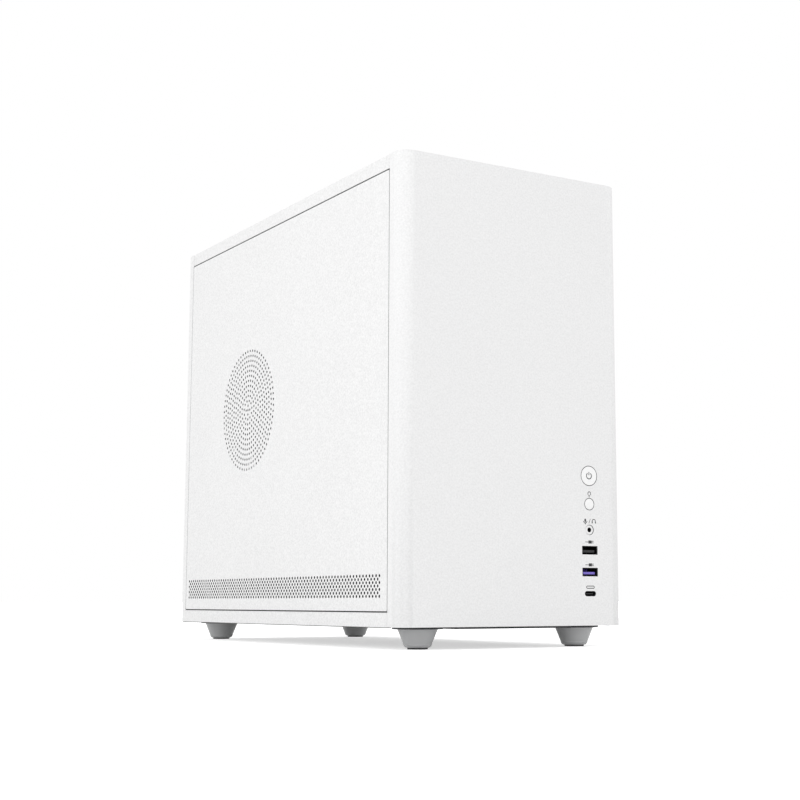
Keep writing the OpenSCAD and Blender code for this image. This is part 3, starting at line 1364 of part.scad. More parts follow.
base_pan();
top_cover();
rear_panel();
front_frame();
board_tray();
panel_clips();
feet();
foot_washers();
foot_pads();
slot_covers();
machine_screws();
io_shield();
front_panel();
left_side_panel();
right_side_panel();
left_panel_studs();
right_panel_studs();
dust_filter();
power_button();
light_button();
port_bracket();
port_board();
push_switches();
audio_jack();
usb_shells();
black_tongues();
blue_tongue();
psu_case();
psu_fan_grille();
psu_fan_frame();
psu_fan_rotor();
mains_inlet();
inlet_blades();
power_rocker();
psu_circuit();
front_fan_frame();
front_fan_rotor();
rear_fan_frame();
rear_fan_rotor();
cooler_heat_sink();
cooler_fan_frame();
cooler_fan_rotor();
motherboard();
board_standoffs();
processor_socket();
processor();
memory_slots();
memory_modules();
memory_latch_near();
memory_latch_far();
expansion_slots();
board_heat_sinks();
board_components();
rear_ports();
drive_cage();
hard_drive();
solid_state_stick();
cables();
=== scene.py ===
"""Finishes, fine details, studio and camera for a desktop computer tower.

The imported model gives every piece's place. All lengths are in metres, +Z up, with the front
face towards -Y.
"""

import logging
import math
from dataclasses import dataclass
from enum import Enum
from functools import partial
from typing import Iterable, Mapping, Sequence, Union

import bmesh
import bpy
from mathutils import Matrix, Vector


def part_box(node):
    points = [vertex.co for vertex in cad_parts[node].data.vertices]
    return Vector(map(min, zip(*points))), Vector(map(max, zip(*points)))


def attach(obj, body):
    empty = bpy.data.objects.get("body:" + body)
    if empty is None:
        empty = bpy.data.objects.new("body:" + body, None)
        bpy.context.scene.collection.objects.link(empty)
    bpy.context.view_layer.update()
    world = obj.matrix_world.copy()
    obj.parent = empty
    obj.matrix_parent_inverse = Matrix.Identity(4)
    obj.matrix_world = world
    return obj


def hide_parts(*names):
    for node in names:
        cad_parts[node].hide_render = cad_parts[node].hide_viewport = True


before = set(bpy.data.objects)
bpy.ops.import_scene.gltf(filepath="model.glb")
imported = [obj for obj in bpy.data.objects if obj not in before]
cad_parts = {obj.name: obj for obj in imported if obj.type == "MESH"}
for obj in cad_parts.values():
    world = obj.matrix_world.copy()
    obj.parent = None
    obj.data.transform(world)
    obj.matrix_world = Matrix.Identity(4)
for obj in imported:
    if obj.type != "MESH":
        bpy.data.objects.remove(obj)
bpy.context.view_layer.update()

log = logging.getLogger("tower")
MM = 0.001
UP = Vector((0.0, 0.0, 1.0))
FORWARD = Vector((0.0, -1.0, 0.0))
BACKWARD = Vector((0.0, 1.0, 0.0))
LEFTWARD = Vector((-1.0, 0.0, 0.0))
RIGHTWARD = Vector((1.0, 0.0, 0.0))
INK_HEIGHT = 0.02 * MM
WELD_REACH = 0.002 * MM
FLAT_ANGLE = 0.5
SAME_POINT = 1e-7
SAME_CAD_POINT = 1e-6

Colour = tuple[float, float, float]
Loop = list[tuple[float, float]]
Range = tuple[float, float]
Value = Union["Sock", float, int, Sequence[float]]


class Body(Enum):
    """The bodies that new pieces ride on."""

    CHASSIS = "chassis"
    LEFT_PANEL = "left_panel"
    RIGHT_PANEL = "right_panel"
    FRONT_COVER = "front_cover"
    POWER_PUSH = "power_push"
    ROCKER = "rocker"
    FRONT_ROTOR = "front_rotor"
    REAR_ROTOR = "rear_rotor"
    COOLER_ROTOR = "cooler_rotor"


class Slot(Enum):
    """The record's material slots, passed along with the rear inserts but not used."""

    WHITE_PLASTIC = "white_plastic"
    BLACK_PLASTIC = "black_plastic"
    BRIGHT_STEEL = "bright_steel"
    ALUMINIUM = "aluminium"
    BRASS = "brass"
    BLACK_RUBBER = "black_rubber"


class Grain(Enum):
    """The direction in which a metal is brushed."""

    ALONG_X = (0.02, 1.0, 1.0)
    ALONG_Z = (1.0, 1.0, 0.02)


# ---------------------------------------------------------------- shader maths


class Sock:
    """A value inside a material, which Python expressions can use like a number."""

    def __init__(self, graph: "Graph", socket: bpy.types.NodeSocket) -> None:
        """Wraps one output of a node.

        Args:
            graph: The material that the node is in.
            socket: The node's output.
        """
        self.graph = graph
        self.socket = socket

    def _math(self, operation: str, first: Value, second: Value) -> "Sock":
        """Adds one Math node.

        Args:
            operation: The node's operation.
            first: Its first value.
            second: Its second value.

        Returns:
            The node's result.
        """
        settings = {"operation": operation}
        return self.graph.node("ShaderNodeMath", settings, {0: first, 1: second})["Value"]

    def __add__(self, other: Value) -> "Sock":
        """Sum of two values."""
        return self._math("ADD", self, other)

    def __radd__(self, other: Value) -> "Sock":
        """Sum with a plain number on the left."""
        return self._math("ADD", other, self)

    def __sub__(self, other: Value) -> "Sock":
        """Difference of two values."""
        return self._math("SUBTRACT", self, other)

    def __rsub__(self, other: Value) -> "Sock":
        """Difference with a plain number on the left."""
        return self._math("SUBTRACT", other, self)

    def __mul__(self, other: Value) -> "Sock":
        """Product of two values."""
        return self._math("MULTIPLY", self, other)

    def __rmul__(self, other: Value) -> "Sock":
        """Product with a plain number on the left."""
        return self._math("MULTIPLY", other, self)

    def above(self, limit: Value) -> "Sock":
        """1 where the value is over a limit, and 0 elsewhere."""
        return self._math("GREATER_THAN", self, limit)

    def wave(self) -> "Sock":
        """The sine of the value."""
        return self._math("SINE", self, 0.0)

    def lifted(self) -> "Sock":
        """The value where it is over 0, and 0 elsewhere."""
        return self._math("MAXIMUM", self, 0.0)


class Outputs:
    """The outputs of one node, by name."""

    def __init__(self, graph: "Graph", node: bpy.types.Node) -> None:
        """Keeps the node.

        Args:
            graph: The material that the node is in.
            node: The node.
        """
        self.graph = graph
        self.node = node

    def __getitem__(self, name: Union[str, int]) -> Sock:
        """One output of the node."""
        return Sock(self.graph, self.node.outputs[name])


class Graph:
    """The node tree of one material or world."""

    def __init__(self, name: str, of_world: bool = False) -> None:
        """Makes an empty material or world.

        Args:
            name: Its name.
            of_world: Whether it is a world.
        """
        kept = bpy.data.worlds if of_world else bpy.data.materials
        self.owner = kept.new(name)
        self.owner.use_nodes = True
        self.tree = self.owner.node_tree
        self.tree.nodes.clear()

    def node(
        self,
        kind: str,
        settings: Mapping[str, object] | None = None,
        values: Mapping[Union[str, int], Value] | None = None,
    ) -> Outputs:
        """Adds a node.

        Args:
            kind: The node's type.
            settings: Its properties, set before its sockets.
            values: What goes into its inputs, by name or number.

        Returns:
            The node's outputs.
        """
        node = self.tree.nodes.new(kind)
        for name, setting in (settings or {}).items():
            setattr(node, name, setting)
        for name, value in (values or {}).items():
            if isinstance(value, Sock):
                self.tree.links.new(value.socket, node.inputs[name])
            else:
                node.inputs[name].default_value = value
        return Outputs(self, node)

    def place(self, stretch: Sequence[float] = (1.0, 1.0, 1.0)) -> Sock:
        """The place on the object, in metres.

        Args:
            stretch: Scale along each axis.

        Returns:
            A vector.
        """
        spot = self.node("ShaderNodeTexCoord")["Object"]
        if tuple(stretch) == (1.0, 1.0, 1.0):
            return spot
        return self.node("ShaderNodeMapping", {}, {"Vector": spot, "Scale": stretch})["Vector"]

    def apart(self, vector: Sock) -> Outputs:
        """The three parts of a vector, as outputs X, Y and Z."""
        return self.node("ShaderNodeSeparateXYZ", {}, {"Vector": vector})

    def noise(
        self, grain: float, detail: float = 2.0, stretch: Sequence[float] = (1.0, 1.0, 1.0)
    ) -> Sock:
        """A noise from 0 to 1 about 0.5.

        Args:
            grain: Width of a grain in metres.
            detail: Octaves of finer noise.
            stretch: Scale along each axis.

        Returns:
            The noise.
        """
        values = {"Vector": self.place(stretch), "Scale": 1.0 / grain, "Detail": detail}
        return self.node("ShaderNodeTexNoise", {"noise_dimensions": "3D"}, values)["Fac"]

    def blend(self, share: Value, low: Value, high: Value) -> Sock:
        """A colour between two colours.

        Args:
            share: 0 for the first colour, 1 for the second.
            low: The first colour.
            high: The second colour.

        Returns:
            The colour.
        """
        settings = {"data_type": "RGBA", "clamp_factor": True}
        values = {0: share, 6: rgba(low), 7: rgba(high)}
        return self.node("ShaderNodeMix", settings, values)[2]

    def bump(self, height: Sock, depth: float, strength: float = 1.0) -> Sock:
        """A surface normal that follows a height.

        Args:
            height: The height, from 0 to 1.
            depth: What a height of 1 stands for, in metres.
            strength: How much of it shows.

        Returns:
            The normal.
        """
        values = {"Height": height, "Distance": depth, "Strength": strength}
        return self.node("ShaderNodeBump", {}, values)["Normal"]

    def finish(self, values: Mapping[str, Value]) -> bpy.types.Material:
        """Ends the material in one Principled shader.

        Args:
            values: What goes into the shader's inputs.

        Returns:
            The material.
        """
        shader = self.node("ShaderNodeBsdfPrincipled", {}, values)["BSDF"]
        self.node("ShaderNodeOutputMaterial", {}, {"Surface": shader})
        return self.owner


def rgba(colour: Value) -> Value:
    """A colour with full opacity; a linked colour stays as it is."""
    return colour if isinstance(colour, Sock) or len(colour) == 4 else (*colour, 1.0)


def shade(colour: Colour, factor: float) -> Colour:
    """A colour made lighter or darker by a factor."""
    return tuple(min(1.0, part * factor) for part in colour)


def around(colour: Colour, swing: float) -> tuple[Colour, Colour]:
    """A colour made darker and lighter by the same share."""
    return shade(colour, 1 - swing), shade(colour, 1 + swing)


# ---------------------------------------------------------------- finishes


@dataclass(frozen=True)
class PowderCoat:
    """Baked powder paint on sheet steel: a fine, even pebble with faint mottling."""

    name: str
    colour: Colour
    roughness: float = 0.6
    grain: float = 1.3 * MM
    relief: float = 0.12 * MM
    mottle: float = 0.18
    gloss: float = 0.06
    cloud_grains: float = 70.0
    cloud_share: float = 0.1
    sheen_swing: float = 0.12

    def material(self) -> bpy.types.Material:
        """Builds the finish.

        Returns:
            The material.
        """
        g = Graph(self.name)
        pebble = g.noise(self.grain, 1.0)
        cloud = g.noise(self.cloud_grains * self.grain, 3.0)
        tint = pebble * (1 - self.cloud_share) + cloud * self.cloud_share
        colour = g.blend(tint, *around(self.colour, self.mottle))
        return g.finish({
            "Base Color": self.add_painted_shade(g, colour),
            "Roughness": self.roughness - self.sheen_swing / 2 + self.sheen_swing * cloud,
            "IOR": 1.5,
            "Specular IOR Level": self.gloss,
            "Normal": g.bump(pebble, self.relief),
        })

    def add_painted_shade(self, g: Graph, colour: Sock) -> Sock:
        """The paint's colour with painted shade that depends on the shape; here none is painted.

        Args:
            g: The material's graph.
            colour: The paint's colour.

        Returns:
            The colour that is used.
        """
        return colour


@dataclass(frozen=True)
class PiercedCoat(PowderCoat):
    """The same paint on a pierced sheet or cap, with painted shade on the walls of its holes."""

    axis: str = "X"
    low: Sequence[float] = (0.0, 0.0, 0.0)
    high: Sequence[float] = (0.0, 0.0, 0.0)
    # painted shade on the hole walls, and a darker painted shade below deep_below
    wall: Colour = (0.12, 0.12, 0.125)
    deep_wall_shade: Colour = (0.03, 0.03, 0.032)
    deep_below: float = -1.0
    face_limit: float = 0.25

    def add_painted_shade(self, g: Graph, colour: Sock) -> Sock:
        """Paints shade on the faces that stand across the pierced face, inside a box, darker below
        deep_below.

        Args:
            g: The material's graph.
            colour: The paint's colour.

        Returns:
            The colour with painted shade on the hole walls.
        """
        out = g.apart(g.node("ShaderNodeNewGeometry")["True Normal"])[self.axis]
        spot = g.apart(g.place())
        # mask of the hole walls that get painted shade
        wall = 1 - (out * out).above(self.face_limit)
        for name, low, high in zip("XYZ", self.low, self.high):
            wall = wall * spot[name].above(low) * (1 - spot[name].above(high))
        grey = g.blend(spot["Z"].above(self.deep_below), self.deep_wall_shade, self.wall)
        return g.blend(wall, colour, grey)


@dataclass(frozen=True)
class Moulded:
    """Moulded plastic with a spark-eroded texture."""

    name: str
    colour: Colour
    roughness: float = 0.55
    grain: float = 0.3 * MM
    relief: float = 0.01 * MM
    mottle: float = 0.04
    flow_width: float = 18 * MM
    flow_stretch: tuple[float, float, float] = (1.0, 1.0, 0.4)
    sheen_swing: float = 0.1

    def material(self) -> bpy.types.Material:
        """Builds the finish.

        Returns:
            The material.
        """
        g = Graph(self.name)
        pores = g.noise(self.grain)
        flow = g.noise(self.flow_width, stretch=self.flow_stretch)
        return g.finish({
            "Base Color": g.blend(flow, *around(self.colour, self.mottle)),
            "Roughness": self.roughness - self.sheen_swing / 2 + self.sheen_swing * flow,
            "IOR": 1.46,
            "Normal": g.bump(pores, self.relief, 0.5),
        })


@dataclass(frozen=True)
class BareMetal:
    """Plated, brushed or extruded metal with lines along one axis."""

    name: str
    colour: Colour
    roughness: float = 0.32
    grain: Grain = Grain.ALONG_Z
    line: float = 0.25 * MM
    relief: float = 0.004 * MM
    stain_width: float = 12 * MM
    dull: float = 0.92
    bright: float = 1.05
    line_swing: float = 0.1
    stain_swing: float = 0.08

    def material(self) -> bpy.types.Material:
        """Builds the finish.

        Returns:
            The material.
        """
        g = Graph(self.name)
        lines = g.noise(self.line, 3.0, self.grain.value)
        stain = g.noise(self.stain_width)
        smooth = self.roughness - self.stain_swing
        return g.finish({
            "Base Color": g.blend(stain, shade(self.colour, self.dull), shade(self.colour, self.bright)),
            "Metallic": 1.0,
            "Roughness": smooth + self.line_swing * lines + self.stain_swing * stain,
            "Normal": g.bump(lines, self.relief, 0.5),
        })


@dataclass(frozen=True)
class Rubber:
    """Soft black rubber with a dusty bloom."""

    name: str
    colour: Colour = (0.018, 0.018, 0.019)
    bloom_width: float = 2.5 * MM
    dust: float = 2.2
    grain: float = 0.4 * MM
    relief: float = 0.015 * MM

    def material(self) -> bpy.types.Material:
        """Builds the finish.

        Returns:
            The material.
        """
        g = Graph(self.name)
        bloom = g.noise(self.bloom_width, 4.0)
        return g.finish({
            "Base Color": g.blend(bloom, self.colour, shade(self.colour, self.dust)),
            "Roughness": 0.7 + 0.2 * bloom,
            "Normal": g.bump(g.noise(self.grain), self.relief, 0.6),
        })


@dataclass(frozen=True)
class SolderMask:
    """A circuit board: solder mask over copper tracks, with tinned pads."""

    name: str
    colour: Colour
    track: Colour
    tin: Colour = (0.62, 0.62, 0.6)
    pitch: float = 1.3 * MM
    bend_width: float = 22 * MM
    bend_angle: float = 42.0
    zone_width: float = 16 * MM
    bare_width: float = 9 * MM
    bare_share: float = 0.47
    track_edge: float = 0.35
    pad_pitch: float = 5 * MM
    pad_radius: float = 0.1
    relief: float = 0.03 * MM

    def material(self) -> bpy.types.Material:
        """Builds the finish.

        Returns:
            The material.
        """
        g = Graph(self.name)
        bend = g.noise(self.bend_width, 0.0) * self.bend_angle
        apart = g.apart(g.place())
        across, along = (apart[axis] * (math.tau / self.pitch) + bend for axis in "ZY")
        zone = g.noise(self.zone_width, 0.0).above(0.5)
        tracks = across.wave() * zone + along.wave() * (1 - zone)
        copper = tracks.above(self.track_edge) * g.noise(self.bare_width, 0.0).above(self.bare_share)
        cells = {"Vector": g.place(), "Scale": 1 / self.pad_pitch}
        centre = g.node("ShaderNodeTexVoronoi", {"feature": "F1"}, cells)["Distance"]
        pad = 1 - centre.above(self.pad_radius)
        return g.finish({
            "Base Color": g.blend(pad, g.blend(copper, self.colour, self.track), self.tin),
            "Metallic": pad * 0.9,
            "Roughness": 0.32 + 0.1 * pad,
            "Normal": g.bump(copper, self.relief, 0.7),
        })


@dataclass(frozen=True)
class Sleeve:
    """A woven sleeve or ribbed jacket round a lead."""

    name: str
    colour: Colour = (0.022, 0.022, 0.024)
    pitch: float = 1.1 * MM
    worn: float = 2.6
    relief: float = 0.12 * MM

    def material(self) -> bpy.types.Material:
        """Builds the finish.

        Returns:
            The material.
        """
        g = Graph(self.name)
        apart = g.apart(g.place())
        x, y, z = (apart[axis] * (math.tau / self.pitch) for axis in "XYZ")
        weave = (y + z + x).wave() * (y - z + x * 0.5).wave() * 0.5 + 0.5
        return g.finish({
            "Base Color": g.blend(weave, self.colour, shade(self.colour, self.worn)),
            "Roughness": 0.55 + 0.2 * weave,
            "Normal": g.bump(weave, self.relief, 0.7),
        })


@dataclass(frozen=True)
class Ink:
    """Matt printed ink, a little broken where the coat's pebble shows through."""

    name: str
    colour: Colour
    grain: float = 0.5 * MM
    worn: float = 1.5

    def material(self) -> bpy.types.Material:
        """Builds the finish.

        Returns:
            The material.
        """
        g = Graph(self.name)
        pebble = g.noise(self.grain)
        return g.finish({
            "Base Color": g.blend(pebble, self.colour, shade(self.colour, self.worn)),
            "Roughness": 0.6 + 0.2 * pebble,
        })


class Palette:
    """Every finish of the tower, built once."""

    def __init__(self) -> None:
        """Builds the materials."""
        self.coat_colour: Colour = (0.86, 0.86, 0.862)
        self.coat = PowderCoat("powder_coat", self.coat_colour).material()
        self.jack = Moulded("jack_face", (0.87, 0.87, 0.87), 0.42).material()
        self.foot = Moulded("foot_plastic", (0.5, 0.505, 0.51), 0.38, grain=0.4 * MM).material()
        self.black = Moulded("black_plastic", (0.014, 0.014, 0.016), 0.42).material()
        self.slot_black = Moulded("slot_black", (0.014, 0.014, 0.016), 0.4).material()
        self.dark = Moulded("dark_plastic", (0.045, 0.045, 0.05), 0.48).material()
        self.smoke = Moulded("fan_blades", (0.035, 0.036, 0.04), 0.3, grain=0.6 * MM).material()
        self.violet = Moulded("violet_tongue", (0.22, 0.16, 0.66), 0.35).material()
        self.shell_metal = BareMetal("dark_shell", (0.008, 0.008, 0.009), 0.7).material()
        self.rubber = Rubber("pad_rubber").material()
        self.psu = PowderCoat(
            "psu_coat", (0.022, 0.022, 0.024), 0.42, grain=0.8 * MM, relief=0.035 * MM, mottle=0.07
        ).material()
        self.steel = BareMetal("plated_steel", (0.66, 0.67, 0.68), 0.3, Grain.ALONG_X).material()
        self.upright_steel = BareMetal("shield_steel", (0.68, 0.69, 0.7), 0.28).material()
        self.fins = BareMetal("fin_aluminium", (0.78, 0.79, 0.81), 0.36).material()
        self.cast = PowderCoat(
            "cast_aluminium", (0.36, 0.37, 0.39), 0.45, grain=0.7 * MM, relief=0.03 * MM, mottle=0.07
        ).material()
        self.brass = BareMetal("gilt_brass", (0.83, 0.62, 0.26), 0.25).material()
        self.board = SolderMask("main_solder_mask", (0.012, 0.022, 0.026), (0.02, 0.045, 0.05)).material()
        self.card = SolderMask("card_solder_mask", (0.01, 0.06, 0.035), (0.02, 0.12, 0.06)).material()
        self.sleeve = Sleeve("lead_sleeve").material()
        self.ink = Ink("dark_ink", (0.025, 0.025, 0.027)).material()
        self.white_ink = Ink("white_ink", (0.8, 0.8, 0.8)).material()
        self.label = Ink("blank_label", (0.72, 0.73, 0.74)).material()
        self.blue = Moulded("blue_tongue", (0.02, 0.12, 0.6), 0.4).material()
        self.lime = Moulded("lime_ring", (0.25, 0.62, 0.12), 0.4).material()
        self.rose = Moulded("rose_ring", (0.8, 0.25, 0.33), 0.4).material()
        self.amber = Moulded("amber_window", (0.85, 0.45, 0.05), 0.2).material()
        self.green = Moulded("green_window", (0.1, 0.6, 0.12), 0.2).material()


# ---------------------------------------------------------------- mesh tools


def dress(material: bpy.types.Material, *names: str) -> None:
    """Gives CAD nodes their finish.

    Args:
        material: The finish.
        names: The nodes.
    """
    for name in names:
        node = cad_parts[name]
        node.data.materials.clear()
        node.data.materials.append(material)
        log.info("dressed %s in %s", name, material.name)


def soften(width: float, *names: str, angle: float = 40.0, segments: int = 2) -> None:
    """Rounds the edges of CAD nodes a little, so that they catch the light.

    Args:
        width: Width of the rounding.
        names: The nodes.
        angle: Smallest angle of an edge that is rounded, in degrees.
        segments: Facets across the rounding.
    """
    for name in names:
        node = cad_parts[name]
        weld = node.modifiers.new("weld", "WELD")
        weld.merge_threshold = WELD_REACH
        merge = node.modifiers.new("flats", "DECIMATE")
        merge.decimate_type = "DISSOLVE"
        merge.angle_limit = math.radians(FLAT_ANGLE)
        round_off = node.modifiers.new("round_off", "BEVEL")
        round_off.width = width
        round_off.segments = segments
        round_off.limit_method = "ANGLE"
        round_off.angle_limit = math.radians(angle)
        round_off.use_clamp_overlap = True
        round_off.harden_normals = True
        log.info("softened %s", name)


def hang(
    piece: bpy.types.Object, body: Body, material: bpy.types.Material
) -> bpy.types.Object:
    """Finishes a new piece and hangs it on its body.

    Args:
        piece: The piece, in place.
        body: The body that it rides on.
        material: Its finish.

    Returns:
        The piece.
    """
    piece.data.materials.clear()
    piece.data.materials.append(material)
    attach(piece, body.value)
    log.info("made %s on %s", piece.name, body.value)
    return piece


def object_from(name: str, work: bmesh.types.BMesh, smooth_angle: float = 35.0) -> bpy.types.Object:
    """Turns a finished bmesh into an object.

    Args:
        name: The object's name.
        work: The mesh, which is freed.
        smooth_angle: Edges sharper than this stay sharp, in degrees.

    Returns:
        The object, at the origin.
    """
    bmesh.ops.remove_doubles(work, verts=work.verts, dist=SAME_POINT)
    bmesh.ops.recalc_face_normals(work, faces=work.faces)
    for face in work.faces:
        face.smooth = True
    limit = math.radians(smooth_angle)
    for edge in work.edges:
        edge.smooth = len(edge.link_faces) == 2 and edge.calc_face_angle(0.0) < limit
    mesh = bpy.data.meshes.new(name)
    work.to_mesh(mesh)
    work.free()
    made = bpy.data.objects.new(name, mesh)
    bpy.context.scene.collection.objects.link(made)
    return made


def facing(spot: Vector, out: Vector, up: Vector = UP) -> Matrix:
    """A frame at a spot whose Z points out of a face and whose Y points up.

    Args:
        spot: The origin.
        out: The way out of the face.
        up: The way up on the face.

    Returns:
        The frame's matrix.
    """
    across = up.cross(out)
    turn = Matrix((across, up, out)).transposed().to_4x4()
    return Matrix.Translation(spot) @ turn


def pour(
    work: bmesh.types.BMesh, loops: Iterable[Loop], thickness: float, at: Matrix, edge: float = 0.0
) -> None:
    """Adds a flat plate with holes to a mesh: its outline and each hole is a closed loop.

    Args:
        work: The mesh.
        loops: The outlines, in the plate's plane.
        thickness: The plate's thickness; it lies on its frame's plane, towards +Z.
        at: The plate's frame.
        edge: Radius of its rounded edges.
    """
    curve = bpy.data.curves.new("outline", "CURVE")
    curve.dimensions = "2D"
    curve.fill_mode = "BOTH"
    curve.extrude = thickness / 2 - edge
    if edge > 0:
        curve.bevel_depth = edge
        curve.bevel_resolution = 1
        curve.offset = -edge
    for loop in loops:
        spline = curve.splines.new("POLY")
        spline.points.add(len(loop) - 1)
        for point, (x, y) in zip(spline.points, loop):
            point.co = (x, y, 0.0, 1.0)
        spline.use_cyclic_u = True
    drawn = bpy.data.objects.new("outline", curve)
    bpy.context.scene.collection.objects.link(drawn)
    mesh = bpy.data.meshes.new_from_object(drawn.evaluated_get(bpy.context.evaluated_depsgraph_get()))
    bpy.data.objects.remove(drawn)
    bpy.data.curves.remove(curve)
    mesh.transform(at @ Matrix.Translation((0.0, 0.0, thickness / 2)))
    work.from_mesh(mesh)
    bpy.data.meshes.remove(mesh)


def plate(name: str, loops: Iterable[Loop], thickness: float, at: Matrix) -> bpy.types.Object:
    """A flat plate with holes, as an object of its own.

    Args:
        name: The object's name.
        loops: The outlines, in the plate's plane.
        thickness: The plate's thickness; it lies on its frame's plane, towards +Z.
        at: The plate's frame.

    Returns:
        The plate.
    """
    work = bmesh.new()
    pour(work, loops, thickness, at)
    return object_from(name, work)


def brick(work: bmesh.types.BMesh, x: Range, y: Range, z: Range, edge: float = 0.15 * MM) -> None:
    """Adds a block with bevelled edges to a mesh.

    Args:
        work: The mesh.
        x: The block's lowest and highest place across.
        y: Its lowest and highest place along the depth.
        z: Its lowest and highest place in height.
        edge: Width of the bevels.
    """
    low, high = (Vector(corner) for corner in zip(x, y, z))
    before = set(work.edges)
    place = Matrix.Translation((low + high) / 2) @ Matrix.Diagonal((*(high - low), 1.0))
    bmesh.ops.create_cube(work, size=1.0, matrix=place)
    fresh = [line for line in work.edges if line not in before]
    bmesh.ops.bevel(work, geom=fresh, offset=edge, segments=1, affect="EDGES", profile=0.5)


def about(middle_at: float, width: float) -> Range:
    """The range of a width about its middle."""
    return middle_at - width / 2, middle_at + width / 2


def turn(work: bmesh.types.BMesh, profile: Loop, at: Matrix, steps: int = 24) -> None:
    """Adds a turned solid to a mesh.

    Args:
        work: The mesh.
        profile: Pairs of radius and height from one end of the axis to the other.
        at: The solid's frame; it turns about Z.
        steps: Facets round it.
    """
    rings = []
    for radius, height in profile:
        turns = [math.tau * k / steps for k in range(steps if radius > 0 else 1)]
        rings.append([
            work.verts.new(at @ Vector((radius * math.cos(t), radius * math.sin(t), height))) for t in turns
        ])
    for lower, upper in zip(rings, rings[1:]):
        for k in range(steps):
            corners = [lower[k % len(lower)], lower[(k + 1) % len(lower)],
                       upper[(k + 1) % len(upper)], upper[k % len(upper)]]
            work.faces.new(list(dict.fromkeys(corners)))


def islands(node: str) -> list[list[Vector]]:
    """The separate solids of a CAD node.

    Args:
        node: The node's name.

    Returns:
        The corner points of each solid, from the lowest solid to the highest.
    """
    work = bmesh.new()
    work.from_mesh(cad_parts[node].data)
    bmesh.ops.remove_doubles(work, verts=work.verts, dist=SAME_CAD_POINT)
    seen: set[bmesh.types.BMVert] = set()
    found: list[list[Vector]] = []
    for start in work.verts:
        if start in seen:
            continue
        seen.add(start)
        group, rim = [], [start]
        while rim:
            vert = rim.pop()
            group.append(vert.co.copy())
            for line in vert.link_edges:
                other = line.other_vert(vert)
                if other not in seen:
                    seen.add(other)
                    rim.append(other)
        found.append(group)
    work.free()
    return sorted(found, key=lambda group: [round(part / MM, 1) for part in reversed(span(group)[0])])


def span(points: Sequence[Vector]) -> tuple[Vector, Vector]:
    """The lowest and the highest corner of some points."""
    low = Vector([min(point[k] for point in points) for k in range(3)])
    high = Vector([max(point[k] for point in points) for k in range(3)])
    return low, high


def circle(radius: float, centre: tuple[float, float] = (0.0, 0.0), points: int = 32) -> Loop:
    """A round outline.

    Args:
        radius: Its radius.
        centre: Its centre.
        points: How many points it has.

    Returns:
        The outline.
    """
    return arc(radius, centre, 0.0, 360.0 * (1 - 1 / points), points)


def arc(radius: float, centre: tuple[float, float], start: float, end: float, points: int) -> Loop:
    """Points along an arc.

    Args:
        radius: Its radius.
        centre: Its centre.
        start: Angle of its first point, in degrees.
        end: Angle of its last point, in degrees.
        points: How many points it has.

    Returns:
        The points.
    """
    turns = [math.radians(start + (end - start) * k / (points - 1)) for k in range(points)]
    return [(centre[0] + radius * math.cos(t), centre[1] + radius * math.sin(t)) for t in turns]


def band(radius: float, width: float, centre: tuple[float, float], start: float, end: float) -> Loop:
    """The outline of a bent stroke with square ends.

    Args:
        radius: Radius of the stroke's middle.
        width: The stroke's width.
        centre: The arc's centre.
        start: Angle of one end, in degrees.
        end: Angle of the other end, in degrees.

    Returns:
        The outline.
    """
    outer = arc(radius + width / 2, centre, start, end, 25)
    inner = arc(radius - width / 2, centre, end, start, 25)
    return outer + inner


def bar(x: float, y: float, width: float, height: float) -> Loop:
    """A rectangle about a centre.

    Args:
        x: The centre's place across.
        y: The centre's place up.
        width: Its width.
        height: Its height.

    Returns:
        The outline.
    """
    w, h = width / 2, height / 2
    return [(x - w, y - h), (x + w, y - h), (x + w, y + h), (x - w, y + h)]


def cross(arm: float, width: float) -> Loop:
    """The outline of an upright cross.

    Args:
        arm: Length of an arm from the middle.
        width: Width of an arm.

    Returns:
        The outline.
    """
    w = width / 2
    return [(w, arm), (-w, arm), (-w, w), (-arm, w), (-arm, -w), (-w, -w), (-w, -arm), (w, -arm),
            (w, -w), (arm, -w), (arm, w), (w, w)]


def middle(node: str) -> Vector:
    """The middle of a CAD node's box."""
    low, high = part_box(node)
    return (low + high) / 2


# ---------------------------------------------------------------- sub-assemblies


@dataclass
class Assembly:
    """A part of the tower that is dressed from one palette."""

    finishes: Palette

    def build(self) -> None:
        """Dresses the part and makes its new pieces."""
        raise NotImplementedError


@dataclass
class Casework(Assembly):
    """The fixed sheet metal: pan, cover, rear panel, front frame, tray and small trim."""

    edge: float = 0.45 * MM

    def build(self) -> None:
        """Dresses the sheet metal and what is fixed to it."""
        dress(self.finishes.coat, "base_pan", "top_cover", "rear_panel", "front_frame", "board_tray",
              "slot_covers", "drive_cage")
        dress(self.finishes.dark, "panel_clips")
        dress(self.finishes.upright_steel, "io_shield")
        soften(self.edge, "base_pan", "top_cover", "rear_panel")


